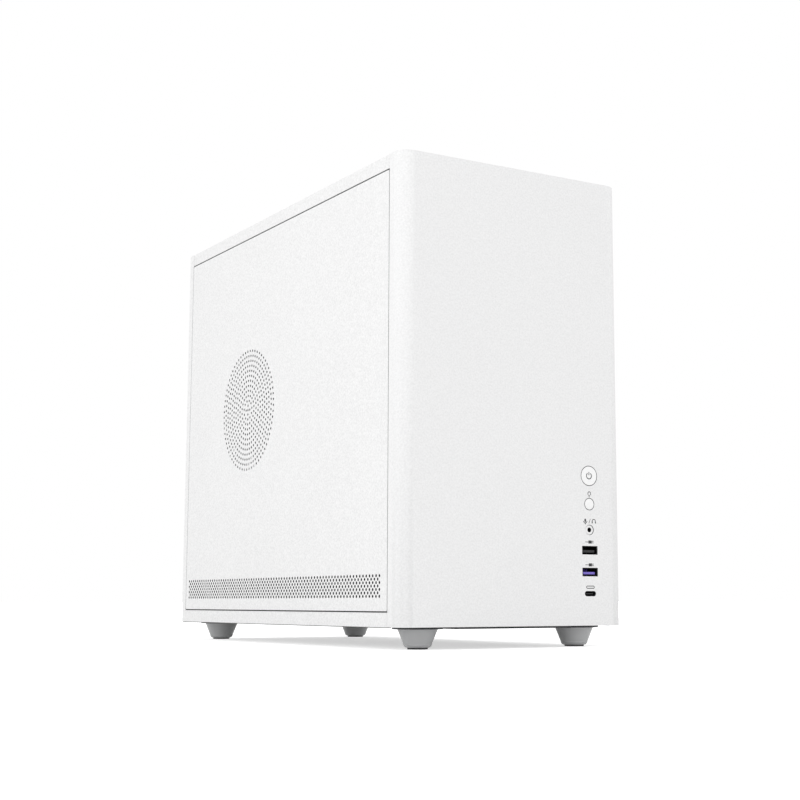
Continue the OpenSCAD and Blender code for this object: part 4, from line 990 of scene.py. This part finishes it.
@dataclass
class Screws(Assembly):
    """Pan-head screws with a cross recess, in place of the plain ones.

    Widths are shares of the head's radius, heights are shares of its height, and the tip's are shares of
    the shank's radius.
    """

    recess: float = 0.55
    recess_width: float = 0.22
    top: float = 0.86
    lid_top: float = 0.94
    rim: float = 0.98
    crown: float = 0.7
    lid: float = 0.4
    lid_edge: float = 0.12
    tip: float = 0.7
    chamfer: float = 0.4

    def build(self) -> None:
        """Turns every screw on its own axis."""
        work = bmesh.new()
        for points in islands("machine_screws"):
            self.add_screw(work, points)
        screws = object_from("pan_head_screws", work)
        hang(screws, Body.CHASSIS, self.finishes.steel)
        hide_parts("machine_screws")

    def add_screw(self, work: bmesh.types.BMesh, points: Sequence[Vector]) -> None:
        """Adds one screw where a plain one is.

        Args:
            work: The mesh of all the screws.
            points: The plain screw's corner points.
        """
        axis = min(range(3), key=lambda k: len({round(point[k] / MM, 2) for point in points}))
        low, high = span(points)
        centre = (low + high) / 2
        radii = [math.hypot(*(point[k] - centre[k] for k in range(3) if k != axis)) for point in points]
        head = max(radii)
        levels = [point[axis] for point, radius in zip(points, radii) if radius > self.rim * head]
        outwards = 1 if high[axis] - max(levels) < min(levels) - low[axis] else -1
        face, under, tip = max(levels), min(levels), low[axis]
        if outwards < 0:
            face, under, tip = under, face, high[axis]
        shank = max(radius for point, radius in zip(points, radii) if abs(point[axis] - tip) < 0.01 * MM)
        height, length = abs(face - under), abs(under - tip)
        out = Vector([outwards if k == axis else 0.0 for k in range(3)])
        up = BACKWARD if axis == 2 else UP
        centre[axis] = under
        at = facing(centre, out, up)
        crown = self.crown * height
        turn(work, [(0.0, -length), (self.tip * shank, -length), (shank, -length + self.chamfer * shank),
                    (shank, 0.0), (0.96 * head, 0.0), (head, 0.1 * height), (head, 0.45 * height),
                    (self.top * head, crown), (0.0, crown)], at)
        lid_at = at @ Matrix.Translation((0.0, 0.0, (1 - self.lid) * height))
        loops = [circle(self.lid_top * self.top * head), cross(self.recess * head, self.recess_width * head)]
        pour(work, loops, self.lid * height, lid_at, self.lid_edge * height)


@dataclass
class SidePanels(Assembly):
    """The two lift-off panels with painted shade in their vent holes, their ball studs, and a dark strip
    round each that stands in for the shade in its gap.
    """

    flange: float = 3 * MM
    reach: float = 0.2
    vent_wall_shade: Colour = (0.46, 0.46, 0.465)
    band_top: float = 0.065
    # The dark strips in the panel gaps stand in for the gaps' shade.
    gap_shade_clear: float = 0.03 * MM
    gap_shade_depth: float = 1.5 * MM
    end_gap_shade: tuple[float, float] = (0.42 * MM, 0.02 * MM)
    long_gap_shade: tuple[float, float] = (0.8 * MM, 0.3 * MM)

    def build(self) -> None:
        """Dresses the panels."""
        low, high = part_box("left_side_panel")
        inset = Vector((0.0, self.flange, self.flange))
        low += inset
        high -= inset
        low.x, high.x = -self.reach, self.reach
        # The vent holes' walls get painted shade, darker in the band of vents below band_top.
        pierced = PiercedCoat("pierced_coat", self.finishes.coat_colour, low=low, high=high,
                              wall=self.vent_wall_shade, deep_below=self.band_top)
        dress(pierced.material(), "left_side_panel", "right_side_panel")
        dress(self.finishes.steel, "left_panel_studs", "right_panel_studs")
        self.lay_gap_shade("left", Body.LEFT_PANEL, -1)
        self.lay_gap_shade("right", Body.RIGHT_PANEL, 1)

    def lay_gap_shade(self, hand: str, body: Body, side: int) -> None:
        """Lays a dark strip in the gap round one panel, which stands in for the gap's shade.

        Args:
            hand: The panel's hand.
            body: The body that it rides on.
            side: Which way the panel faces, -1 or 1.
        """
        low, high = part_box(hand + "_side_panel")
        face_x = low.x if side < 0 else high.x
        middle_y, middle_z = (low.y + high.y) / 2, (low.z + high.z) / 2
        half = (high - low) / 2 + Vector((0.0, self.gap_shade_clear, self.gap_shade_clear))
        for name, (width, setback) in (("end", self.end_gap_shade), ("long", self.long_gap_shade)):
            gap_shade_x = face_x - side * (setback + self.gap_shade_depth)
            at = facing(Vector((gap_shade_x, middle_y, middle_z)), side * RIGHTWARD)
            if name == "end":
                loops = [bar(k * (half.y + width / 2), 0.0, width, 2 * half.z) for k in (-1, 1)]
            else:
                loops = [bar(0.0, k * (half.z + width / 2), 2 * half.y, width) for k in (-1, 1)]
            # a dark strip in the gap, standing in for its shade
            gap_shade = plate(f"{hand}_{name}_gap_shades", loops, self.gap_shade_depth, at)
            hang(gap_shade, body, self.finishes.rubber)


@dataclass
class FrontPanel(Assembly):
    """The moulded front with its printed marks."""

    edge: float = 0.35 * MM
    stroke: float = 0.55 * MM
    corner: float = 14 * MM
    sleeves: float = 14 * MM
    relief: float = 0.1 * MM
    mottle: float = 0.11
    bulb_lift: float = 7.4 * MM
    sound_lift: float = 6.5 * MM
    sound_spread: float = 4 * MM
    plug_lifts: tuple[float, float, float] = (3.3 * MM, 2.5 * MM, 3.2 * MM)

    def build(self) -> None:
        """Dresses the front, with painted shade on the walls of its openings, and prints its marks."""
        low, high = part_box("front_panel")
        low += Vector((self.corner, 0.0, self.corner))
        high -= Vector((self.corner, 0.0, self.corner))
        high.y = low.y + self.sleeves
        # Painted shade on the walls of the openings, inside the sleeves' depth behind the face.
        shell = PiercedCoat("textured_shell", self.finishes.coat_colour, 0.8, relief=self.relief,
                            mottle=self.mottle, axis="Y", low=low, high=high)
        dress(shell.material(), "front_panel")
        soften(self.edge, "front_panel")
        self.print_bulb()
        self.print_sound()
        self.print_plugs()

    def on_face(self, x: float, z: float) -> Matrix:
        """A frame on the front face.

        Args:
            x: Its place across.
            z: Its height.

        Returns:
            The frame's matrix.
        """
        face_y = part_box("front_panel")[0].y
        return facing(Vector((x, face_y, z)), FORWARD)

    def print_mark(self, name: str, loops: list[Loop], x: float, z: float) -> None:
        """Prints one mark on the front face.

        Args:
            name: The piece's name.
            loops: The mark's outlines.
            x: Its place across.
            z: Its height.
        """
        mark = plate(name, loops, INK_HEIGHT, self.on_face(x, z))
        hang(mark, Body.FRONT_COVER, self.finishes.ink)

    def print_bulb(self) -> None:
        """Prints the small bulb over the light button."""
        spot = middle("light_button")
        s = self.stroke
        globe = band(1.3 * MM, s, (0.0, 0.6 * MM), -50.0, 230.0)
        cap = bar(0.0, -1.1 * MM, 1.7 * MM, s)
        tip = bar(0.0, -2.0 * MM, 1.0 * MM, s)
        self.print_mark("bulb_mark", [globe, cap, tip], spot.x, spot.z + self.bulb_lift)

    def print_sound(self) -> None:
        """Prints a microphone, a stroke and a pair of headphones over the audio jack."""
        spot = middle("audio_jack")
        s = self.stroke
        mic_x, ear_x = -self.sound_spread, self.sound_spread
        dome = arc(0.75 * MM, (mic_x, 1.1 * MM), 0.0, 180.0, 9)
        bowl = arc(0.75 * MM, (mic_x, 0.1 * MM), 180.0, 360.0, 9)
        cradle = band(1.5 * MM, s, (mic_x, 0.1 * MM), 180.0, 360.0)
        stand = bar(mic_x, -2.0 * MM, s, 0.8 * MM)
        slash = [(-0.9 * MM, -1.7 * MM), (-0.45 * MM, -1.7 * MM),
                 (0.9 * MM, 1.7 * MM), (0.45 * MM, 1.7 * MM)]
        strap = band(1.55 * MM, s, (ear_x, -0.1 * MM), 0.0, 180.0)
        cups = [bar(ear_x + side * 1.5 * MM, -0.8 * MM, 0.9 * MM, 1.4 * MM) for side in (-1, 1)]
        loops = [dome + bowl, cradle, stand, slash, strap, *cups]
        self.print_mark("sound_mark", loops, spot.x, spot.z + self.sound_lift)

    def print_plugs(self) -> None:
        """Prints a plain plug over each flat socket and an oblong over the small one."""
        s = self.stroke
        plug = [bar(0.2 * MM, 0.0, 3.0 * MM, 2.3 * MM), bar(-2.9 * MM, 0.0, 3.0 * MM, 0.8 * s),
                bar(2.6 * MM, 0.6 * MM, 1.6 * MM, s), bar(2.6 * MM, -0.6 * MM, 1.6 * MM, s)]
        oblong = [self.slot(2.8 * MM, 1.1 * MM), self.slot(2.8 * MM, 1.1 * MM - s)]
        marks = (("upper_plug_mark", plug), ("lower_plug_mark", plug), ("oblong_mark", oblong))
        for (name, loops), points, lift in zip(marks, reversed(islands("usb_shells")), self.plug_lifts):
            low, high = span(points)
            self.print_mark(name, loops, (low.x + high.x) / 2, high.z + lift)

    def slot(self, half: float, radius: float) -> Loop:
        """The outline of an oblong with round ends.

        Args:
            half: Half the distance between the ends' centres.
            radius: The ends' radius.

        Returns:
            The outline.
        """
        return arc(radius, (half, 0.0), -90.0, 90.0, 9) + arc(radius, (-half, 0.0), 90.0, 270.0, 9)


@dataclass
class Controls(Assembly):
    """The two buttons, the jack and the sockets on the front."""

    cap_colour: Colour = (0.95, 0.95, 0.95)
    edge: float = 0.2 * MM
    symbol_radius: float = 2.3 * MM
    symbol_stroke: float = 0.7 * MM
    symbol_gap: float = 35.0
    liner_radius: float = 1.79 * MM
    liner_wall: float = 0.12 * MM
    liner_depth: float = 11 * MM
    liner_setback: float = 0.15 * MM

    def build(self) -> None:
        """Dresses the controls and prints the power symbol."""
        for name in ("power_button", "light_button"):
            low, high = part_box(name)
            # The caps' side walls get painted shade, for the gap round each button.
            cap = PiercedCoat(name + "_cap", self.cap_colour, 0.45, relief=0.01 * MM, mottle=0.03,
                              axis="Y", low=low, high=high)
            dress(cap.material(), name)
        dress(self.finishes.jack, "audio_jack")
        dress(self.finishes.shell_metal, "usb_shells")
        dress(self.finishes.slot_black, "black_tongues", "push_switches")
        dress(self.finishes.violet, "blue_tongue")
        dress(self.finishes.dark, "port_bracket")
        dress(self.finishes.card, "port_board")
        soften(self.edge, "power_button", "light_button", "audio_jack", angle=50.0)
        gap = self.symbol_gap
        ring = band(self.symbol_radius, self.symbol_stroke, (0.0, 0.0), 90.0 + gap, 450.0 - gap)
        stem = bar(0.0, 0.75 * self.symbol_radius, self.symbol_stroke, 1.1 * self.symbol_radius)
        at = self.on_front("power_button", 0.0)
        symbol = plate("power_symbol", [ring, stem], INK_HEIGHT, at)
        hang(symbol, Body.POWER_PUSH, self.finishes.ink)
        self.line_jack()

    def on_front(self, node: str, setback: float) -> Matrix:
        """A frame behind the middle of a node's front, which faces forward.

        Args:
            node: The node's name.
            setback: How far behind its front the frame is.

        Returns:
            The frame's matrix.
        """
        spot = middle(node)
        spot.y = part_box(node)[0].y + setback
        return facing(spot, FORWARD)

    def line_jack(self) -> None:
        """Lines the jack's bore with its dark inner barrel."""
        at = self.on_front("audio_jack", self.liner_setback)
        r, wall, depth = self.liner_radius, self.liner_wall, self.liner_depth
        work = bmesh.new()
        turn(work, [(0.0, -depth), (r, -depth), (r, 0.0), (r - wall, 0.0), (r - wall, wall - depth),
                    (0.0, wall - depth)], at, 32)
        liner = object_from("jack_liner", work)
        hang(liner, Body.CHASSIS, self.finishes.black)


@dataclass
class Base(Assembly):
    """Feet, dust filter and the dark strips under the sides that stand in for the shade along their bottom
    edges.
    """

    edge: float = 0.15 * MM
    # Dark strips that stand in for the shade along the sides' bottom edges.
    shade_strip_height: float = 0.5 * MM
    shade_strip_width: float = 3 * MM
    shade_strip_setback: float = 0.4 * MM
    shade_strip_edge: float = 0.1 * MM

    def build(self) -> None:
        """Dresses what is under the case."""
        dress(self.finishes.foot, "feet")
        dress(self.finishes.black, "foot_washers", "dust_filter")
        dress(self.finishes.rubber, "foot_pads")
        soften(self.edge, "foot_washers", "foot_pads", angle=50.0)
        self.lay_shade_strips()

    def lay_shade_strips(self) -> None:
        """Lays a thin dark strip under each long side, as painted shade along its bottom edge."""
        low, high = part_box("base_pan")
        work = bmesh.new()
        for side in (-1, 1):
            outer = side * (high.x - self.shade_strip_setback)
            inner = outer - side * self.shade_strip_width
            across = (min(inner, outer), max(inner, outer))
            brick(work, across, (low.y, high.y), (low.z - self.shade_strip_height, low.z), self.shade_strip_edge)
        hang(object_from("shade_strips", work), Body.CHASSIS, self.finishes.black)


@dataclass
class PowerSupply(Assembly):
    """The power supply with its fan, inlet and switch."""

    edge: float = 0.25 * MM
    label_share: tuple[float, float] = (0.4, 0.32)
    label_corner: float = 2 * MM
    label_thickness: float = 0.12 * MM
    mark_height: float = 0.04 * MM
    mark_share: float = 0.27
    mark_reach: float = 10 * MM

    def build(self) -> None:
        """Dresses the power supply."""
        dress(self.finishes.psu, "psu_case")
        dress(self.finishes.steel, "psu_fan_grille")
        dress(self.finishes.dark, "psu_fan_frame")
        dress(self.finishes.smoke, "psu_fan_rotor")
        dress(self.finishes.black, "mains_inlet", "power_rocker")
        dress(self.finishes.brass, "inlet_blades")
        dress(self.finishes.card, "psu_circuit")
        soften(self.edge, "psu_case", "mains_inlet")
        self.stick_label()
        self.mark_rocker("rocker_on_mark", [bar(0.0, 0.0, 0.6 * MM, 3.2 * MM)], 1)
        ring = [circle(1.6 * MM), circle(1.0 * MM)]
        self.mark_rocker("rocker_off_mark", ring, -1)

    def stick_label(self) -> None:
        """Sticks a bare label on the side of the power supply."""
        low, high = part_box("psu_case")
        centre = (low + high) / 2
        at = facing(Vector((low.x, centre.y, centre.z)), LEFTWARD)
        radius = self.label_corner
        w = self.label_share[0] * (high.y - low.y) - radius
        h = self.label_share[1] * (high.z - low.z) - radius
        outline: Loop = []
        for x, y, start in ((w, h, 0.0), (-w, h, 90.0), (-w, -h, 180.0), (w, -h, 270.0)):
            outline += arc(radius, (x, y), start, start + 90.0, 6)
        label = plate("supply_label", [outline], self.label_thickness, at)
        hang(label, Body.CHASSIS, self.finishes.label)

    def mark_rocker(self, name: str, loops: list[Loop], side: int) -> None:
        """Prints a mark on one half of the rocker's face.

        Args:
            name: The mark's name.
            loops: Its outlines.
            side: 1 for the upper half, -1 for the lower.
        """
        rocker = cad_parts["power_rocker"]
        low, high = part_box("power_rocker")
        centre = (low + high) / 2
        lift = side * self.mark_share * (high.z - low.z)
        start = Vector((centre.x, high.y + self.mark_reach, centre.z + lift))
        _, spot, out, _ = rocker.ray_cast(start, FORWARD)
        mark = plate(name, loops, self.mark_height, facing(spot, out, out.cross(RIGHTWARD)))
        hang(mark, Body.ROCKER, self.finishes.white_ink)


@dataclass
class Cooling(Assembly):
    """The three case and processor fans and the heat sink."""

    label_radius: float = 14 * MM
    label_thickness: float = 0.06 * MM

    def build(self) -> None:
        """Dresses the fans and the heat sink."""
        dress(self.finishes.dark, "front_fan_frame", "rear_fan_frame", "cooler_fan_frame")
        dress(self.finishes.smoke, "front_fan_rotor", "rear_fan_rotor", "cooler_fan_rotor")
        dress(self.finishes.fins, "cooler_heat_sink")
        self.stick_hub_labels()

    def stick_hub_labels(self) -> None:
        """Sticks a bare round label on the closed end of each visible rotor's hub."""
        for node, body, out in (
            ("front_fan_rotor", Body.FRONT_ROTOR, BACKWARD),
            ("rear_fan_rotor", Body.REAR_ROTOR, FORWARD),
            ("cooler_fan_rotor", Body.COOLER_ROTOR, LEFTWARD),
        ):
            low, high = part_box(node)
            spot = (low + high) / 2
            for k in range(3):
                if out[k]:
                    spot[k] = high[k] if out[k] > 0 else low[k]
            disc = [circle(self.label_radius)]
            label = plate(node + "_label", disc, self.label_thickness, facing(spot, out))
            hang(label, body, self.finishes.label)


@dataclass
class Mainboard(Assembly):
    """The main circuit board and all that stands on it."""

    largest_capacitor: float = 5 * MM
    lid_height: float = 0.15 * MM
    lid_share: float = 0.86
    score_share: float = 0.6
    score_width: float = 0.1
    fewest_points: int = 20
    roundness: float = 0.1 * MM

    def build(self) -> None:
        """Dresses the board."""
        dress(self.finishes.board, "motherboard")
        dress(self.finishes.brass, "board_standoffs")
        dress(self.finishes.steel, "processor_socket", "processor", "memory_latch_near", "memory_latch_far")
        dress(self.finishes.slot_black, "memory_slots", "expansion_slots")
        dress(self.finishes.card, "memory_modules", "solid_state_stick")
        dress(self.finishes.cast, "board_heat_sinks")
        dress(self.finishes.dark, "board_components")
        self.cap_round_parts()

    def cap_round_parts(self) -> None:
        """Puts a bare metal lid on each capacitor and on the coin cell."""
        work = bmesh.new()
        for points in islands("board_components"):
            low, high = span(points)
            centre = (low + high) / 2
            uneven = abs((high.y - low.y) - (high.z - low.z))
            if len(points) < self.fewest_points or uneven > self.roundness:
                continue
            radius = (high.y - low.y) / 2
            at = facing(Vector((low.x, centre.y, centre.z)), LEFTWARD)
            loops = [circle(self.lid_share * radius)]
            if radius < self.largest_capacitor:
                loops.append(cross(self.score_share * radius, self.score_width * radius))
            pour(work, loops, self.lid_height, at)
        lids = object_from("capacitor_and_cell_lids", work)
        hang(lids, Body.CHASSIS, self.finishes.fins)


class Port(Enum):
    """What a rear socket is for."""

    DARK_STACK = "dark_stack"
    BLUE_STACK = "blue_stack"
    PICTURE = "picture"
    NETWORK = "network"
    SOUND = "sound"


@dataclass
class Opening:
    """The inside of one rear socket's shell."""

    name: str
    low: Vector
    high: Vector

    @property
    def centre(self) -> Vector:
        """Its middle."""
        return (self.low + self.high) / 2

    @property
    def rim(self) -> Loop:
        """Its outline, on the frame of its mouth."""
        return bar(0.0, 0.0, self.high.x - self.low.x, self.high.z - self.low.z)

    def mouth(self, setback: float) -> Matrix:
        """A frame a little inside the mouth, which faces out of it.

        Args:
            setback: How far inside it is.

        Returns:
            The frame's matrix.
        """
        return facing(Vector((self.centre.x, self.high.y - setback, self.centre.z)), BACKWARD)


@dataclass
class RearPorts(Assembly):
    """The sockets on the main board's rear edge, with what is inside their shells."""

    order: tuple[Port, ...] = (
        Port.SOUND, Port.NETWORK, Port.BLUE_STACK, Port.PICTURE, Port.PICTURE, Port.DARK_STACK,
    )
    wall: float = 1 * MM
    depth: float = 12 * MM
    skin: float = 1 * MM
    setback: float = 2.2 * MM
    edge: float = 0.3 * MM
    divider: float = 2.6 * MM
    divider_setback: float = 0.4 * MM
    tongue: float = 1.9 * MM
    tongue_spread: float = 0.29
    tongue_margin: float = 0.7 * MM
    contacts: int = 4
    contact: float = 0.9 * MM
    contact_setback: float = 3 * MM
    contact_rise: float = 0.12 * MM
    contact_sink: float = 0.1 * MM
    contact_edge: float = 0.03 * MM
    wide_tongue: float = 1.6 * MM
    wide_margin: float = 1.6 * MM
    wide_edge: float = 0.2 * MM
    network_setback: float = 1.4 * MM
    springs: int = 8
    spring: float = 0.4 * MM
    spring_pitch: float = 1.02 * MM
    spring_inset: float = 2.4 * MM
    spring_edge: float = 0.05 * MM
    window: tuple[float, float, float] = (1.6 * MM, 2.6 * MM, 0.2 * MM)
    window_inset: tuple[float, float] = (1.6 * MM, 2.2 * MM)
    sound_setback: float = 1.6 * MM
    bore: float = 1.8 * MM
    bore_spread: float = 3.4 * MM
    ring: float = 3 * MM
    ring_height: float = 1 * MM
    ring_edge: float = 0.25 * MM

    def build(self) -> None:
        """Fills the shells, from the lowest to the highest."""
        dress(self.finishes.upright_steel, "rear_ports")
        fillers = {
            Port.DARK_STACK: partial(self.fill_stack, self.finishes.slot_black),
            Port.BLUE_STACK: partial(self.fill_stack, self.finishes.blue),
            Port.PICTURE: self.fill_picture,
            Port.NETWORK: self.fill_network,
            Port.SOUND: self.fill_sound,
        }
        inset = Vector((self.wall, 0.0, self.wall))
        for place, (points, port) in enumerate(zip(islands("rear_ports"), self.order), 1):
            low, high = span(points)
            shell = Opening(f"port_{place}_{port.value}", low + inset, high - inset)
            shell.low.y = high.y - self.depth
            back = bmesh.new()
            brick(back, *zip(shell.low, (shell.high.x, shell.low.y + self.skin, shell.high.z)))
            self.add(shell.name + "_back", back, self.finishes.slot_black, Slot.BLACK_PLASTIC)
            fillers[port](shell)

    def add(self, name: str, work: bmesh.types.BMesh, material: bpy.types.Material, slot: Slot) -> None:
        """Finishes one insert.

        Args:
            name: The piece's name.
            work: Its mesh.
            material: Its finish.
            slot: The record's slot of its finish; not used.
        """
        hang(object_from(name, work), Body.CHASSIS, material)

    def fill_stack(self, plastic: bpy.types.Material, shell: Opening) -> None:
        """Fills a double socket with a divider and two tongues with their contacts.

        Args:
            plastic: The tongues' finish.
            shell: The socket's opening.
        """
        low, high = shell.low, shell.high
        middle_x, width = (low.x + high.x) / 2, high.x - low.x
        divider, tongues, contacts = bmesh.new(), bmesh.new(), bmesh.new()
        brick(divider, about(middle_x, self.divider), (low.y, high.y - self.divider_setback),
              (low.z, high.z), self.edge)
        for side in (-1, 1):
            x = middle_x + side * self.tongue_spread * width
            brick(tongues, about(x, self.tongue), (low.y, high.y - self.setback),
                  (low.z + self.tongue_margin, high.z - self.tongue_margin), self.edge)
            face = x - self.tongue / 2
            thickness = (face - self.contact_rise, face + self.contact_sink)
            length = (low.y + self.skin, high.y - self.contact_setback)
            for k in range(self.contacts):
                z = low.z + (high.z - low.z) * (k + 1) / (self.contacts + 1)
                brick(contacts, thickness, length, about(z, self.contact), self.contact_edge)
        self.add(shell.name + "_divider", divider, self.finishes.upright_steel, Slot.BRIGHT_STEEL)
        self.add(shell.name + "_tongues", tongues, plastic, Slot.BLACK_PLASTIC)
        self.add(shell.name + "_contacts", contacts, self.finishes.brass, Slot.BRASS)

    def fill_picture(self, shell: Opening) -> None:
        """Fills a monitor's socket with one wide tongue.

        Args:
            shell: The socket's opening.
        """
        low, high = shell.low, shell.high
        work = bmesh.new()
        brick(work, about((low.x + high.x) / 2, self.wide_tongue), (low.y, high.y - self.setback),
              (low.z + self.wide_margin, high.z - self.wide_margin), self.wide_edge)
        self.add(shell.name + "_tongue", work, self.finishes.slot_black, Slot.BLACK_PLASTIC)

    def fill_network(self, shell: Opening) -> None:
        """Fills the network socket with a stepped mouth, eight springs and two windows.

        Args:
            shell: The socket's opening.
        """
        low, high = shell.low, shell.high
        at = shell.mouth(self.network_setback)
        w, h = (high.x - low.x) / 2, (high.z - low.z) / 2
        near, step, far, latch, top = w - 1.2 * MM, w - 3.2 * MM, w - 1.4 * MM, 3 * MM, h - 1.6 * MM
        mouth = [(-near, -top), (step, -top), (step, -latch), (far, -latch),
                 (far, latch), (step, latch), (step, top), (-near, top)]
        panel = self.poured([shell.rim, mouth], self.skin, at)
        self.add(shell.name + "_mouth", panel, self.finishes.slot_black, Slot.BLACK_PLASTIC)
        springs = bmesh.new()
        length = (low.y + self.skin, high.y - self.contact_setback)
        for k in range(self.springs):
            z = shell.centre.z + (k - (self.springs - 1) / 2) * self.spring_pitch
            brick(springs, about(high.x - self.spring_inset, self.spring), length,
                  about(z, self.spring), self.spring_edge)
        self.add(shell.name + "_springs", springs, self.finishes.brass, Slot.BRASS)
        wide, tall, thick = self.window
        in_x, in_z = self.window_inset
        for side, material, word in ((-1, self.finishes.green, "green"), (1, self.finishes.amber, "amber")):
            spot = at @ Matrix.Translation((w - in_x, side * (h - in_z), self.skin))
            piece = self.poured([bar(0.0, 0.0, wide, tall)], thick, spot)
            self.add(f"{shell.name}_{word}_window", piece, material, Slot.WHITE_PLASTIC)

    def fill_sound(self, shell: Opening) -> None:
        """Fills the sound sockets with a face and two coloured rings.

        Args:
            shell: The socket's opening.
        """
        at = shell.mouth(self.sound_setback)
        bores = [circle(self.bore, (side * self.bore_spread, 0.0)) for side in (1, -1)]
        face = self.poured([shell.rim, *bores], self.skin, at)
        self.add(shell.name + "_face", face, self.finishes.slot_black, Slot.BLACK_PLASTIC)
        for side, material, word in ((-1, self.finishes.lime, "lime"), (1, self.finishes.rose, "rose")):
            ring = at @ Matrix.Translation((side * self.bore_spread, 0.0, self.skin))
            loops = [circle(self.ring), circle(self.bore)]
            piece = self.poured(loops, self.ring_height, ring, self.ring_edge)
            self.add(f"{shell.name}_{word}_ring", piece, material, Slot.WHITE_PLASTIC)

    def poured(
        self, loops: list[Loop], thickness: float, at: Matrix, edge: float = 0.0
    ) -> bmesh.types.BMesh:
        """A new mesh with one flat plate.

        Args:
            loops: The plate's outlines.
            thickness: Its thickness.
            at: Its frame.
            edge: Radius of its rounded edges.

        Returns:
            The mesh.
        """
        work = bmesh.new()
        pour(work, loops, thickness, at, edge)
        return work


@dataclass
class Storage(Assembly):
    """The drive and the leads."""

    def build(self) -> None:
        """Dresses the drive and the leads."""
        dress(self.finishes.cast, "hard_drive")
        dress(self.finishes.sleeve, "cables")


# ---------------------------------------------------------------- studio


@dataclass
class Studio:
    """Floor, room, lamp and camera."""

    floor_reach: float = 60.0
    floor_colour: Colour = (0.74, 0.74, 0.74)
    floor_glow: float = 0.57
    white: Colour = (1.0, 1.0, 1.0)
    near_floor: float = 1.2
    far_floor: float = 3.0
    room_light: float = 1.22
    ceiling_dim: float = 0.25
    lens: float = 66.02
    sensor: float = 36.0
    clip_start: float = 0.05
    camera_at: tuple[float, float, float] = (-0.6046, -1.0819, 0.0340)
    yaw: float = -32.089
    pitch: float = 7.95
    roll: float = -0.051
    shift: tuple[float, float] = (-0.0708, -0.0052)
    lamp_at: tuple[float, float, float] = (-1.0, -0.5, 0.5)
    lamp_towards: tuple[float, float, float] = (0.0, -0.1, 0.2)
    lamp_side: float = 0.8
    lamp_power: float = 1.5

    def build(self) -> None:
        """Sets the stage."""
        self.lay_floor()
        self.light_world()
        self.hang_lamp()
        self.set_camera()
        bpy.context.scene.view_settings.view_transform = "Standard"

    def shown(self, g: Graph) -> Sock:
        """Tells the rays that show the backdrop from those that light the object.

        Args:
            g: The graph of the floor or the room.

        Returns:
            One for a ray from the camera, a reflection or glass, else zero.
        """
        rays = g.node("ShaderNodeLightPath")
        seen = rays["Is Camera Ray"] + rays["Is Glossy Ray"] + rays["Is Transmission Ray"]
        return seen.above(0.5)

    def lay_floor(self) -> None:
        """Lays a pale floor that shows the shadow and is white to the camera elsewhere."""
        work = bmesh.new()
        bmesh.ops.create_grid(work, x_segments=1, y_segments=1, size=self.floor_reach / 2)
        floor = object_from("floor", work)
        g = Graph("floor_paint")
        apart = g.node("ShaderNodeVectorMath", {"operation": "LENGTH"}, {0: g.place()})["Value"]
        reach = {"Value": apart, "From Min": self.near_floor, "From Max": self.far_floor}
        far = g.node("ShaderNodeMapRange", {"interpolation_type": "SMOOTHSTEP"}, reach)["Result"]
        glow = self.shown(g) * (self.floor_glow + far)
        paint = g.node("ShaderNodeBsdfDiffuse", {}, {"Color": rgba(self.floor_colour)})["BSDF"]
        lit = g.node("ShaderNodeEmission", {}, {"Strength": glow})["Emission"]
        both = g.node("ShaderNodeAddShader", {}, {0: paint, 1: lit})["Shader"]
        g.node("ShaderNodeOutputMaterial", {}, {"Surface": both})
        floor.data.materials.append(g.owner)

    def light_world(self) -> None:
        """Lights the room, a little less from above, and shows it white behind the object."""
        g = Graph("room", of_world=True)
        bpy.context.scene.world = g.owner
        clear = self.shown(g)
        height = g.apart(g.node("ShaderNodeTexCoord")["Generated"])["Z"].lifted()
        room = self.room_light - self.ceiling_dim * height
        strength = room * (1 - clear) + clear
        shader = g.node("ShaderNodeBackground", {}, {"Color": rgba(self.white), "Strength": strength})
        g.node("ShaderNodeOutputWorld", {}, {"Surface": shader["Background"]})

    def hang_lamp(self) -> None:
        """Hangs the one large soft lamp, in front of the corner and to its left."""
        data = bpy.data.lights.new("key", "AREA")
        data.shape = "SQUARE"
        data.size = self.lamp_side
        data.energy = self.lamp_power
        made = bpy.data.objects.new("key", data)
        made.location = self.lamp_at
        made.rotation_mode = "QUATERNION"
        ahead = Vector(self.lamp_towards) - Vector(self.lamp_at)
        made.rotation_quaternion = ahead.to_track_quat("-Z", "Y")
        bpy.context.scene.collection.objects.link(made)

    def set_camera(self) -> None:
        """Sets the camera low in front of the object's left corner."""
        a, e, r = (math.radians(t) for t in (self.yaw, self.pitch, self.roll))
        ahead = Vector((-math.sin(a) * math.cos(e), math.cos(a) * math.cos(e), math.sin(e)))
        level = Vector((math.cos(a), math.sin(a), 0.0))
        above = level.cross(ahead)
        right = level * math.cos(r) + above * math.sin(r)
        up = above * math.cos(r) - level * math.sin(r)
        data = bpy.data.cameras.new("camera")
        data.lens = self.lens
        data.sensor_width = self.sensor
        data.shift_x, data.shift_y = self.shift
        data.clip_start = self.clip_start
        made = bpy.data.objects.new("camera", data)
        turned = Matrix((right, up, -ahead)).transposed().to_4x4()
        made.matrix_world = Matrix.Translation(self.camera_at) @ turned
        bpy.context.scene.collection.objects.link(made)
        bpy.context.scene.camera = made


def main() -> None:
    """Builds the tower and its studio."""
    logging.basicConfig(level=logging.INFO, format="%(name)s: %(message)s")
    finishes = Palette()
    kinds = (Casework, Screws, SidePanels, FrontPanel, Controls, Base, PowerSupply, Cooling, Mainboard,
             RearPorts, Storage)
    for kind in kinds:
        log.info("building %s", kind.__name__)
        kind(finishes).build()
    Studio().build()


if __name__ == "__main__":
    main()
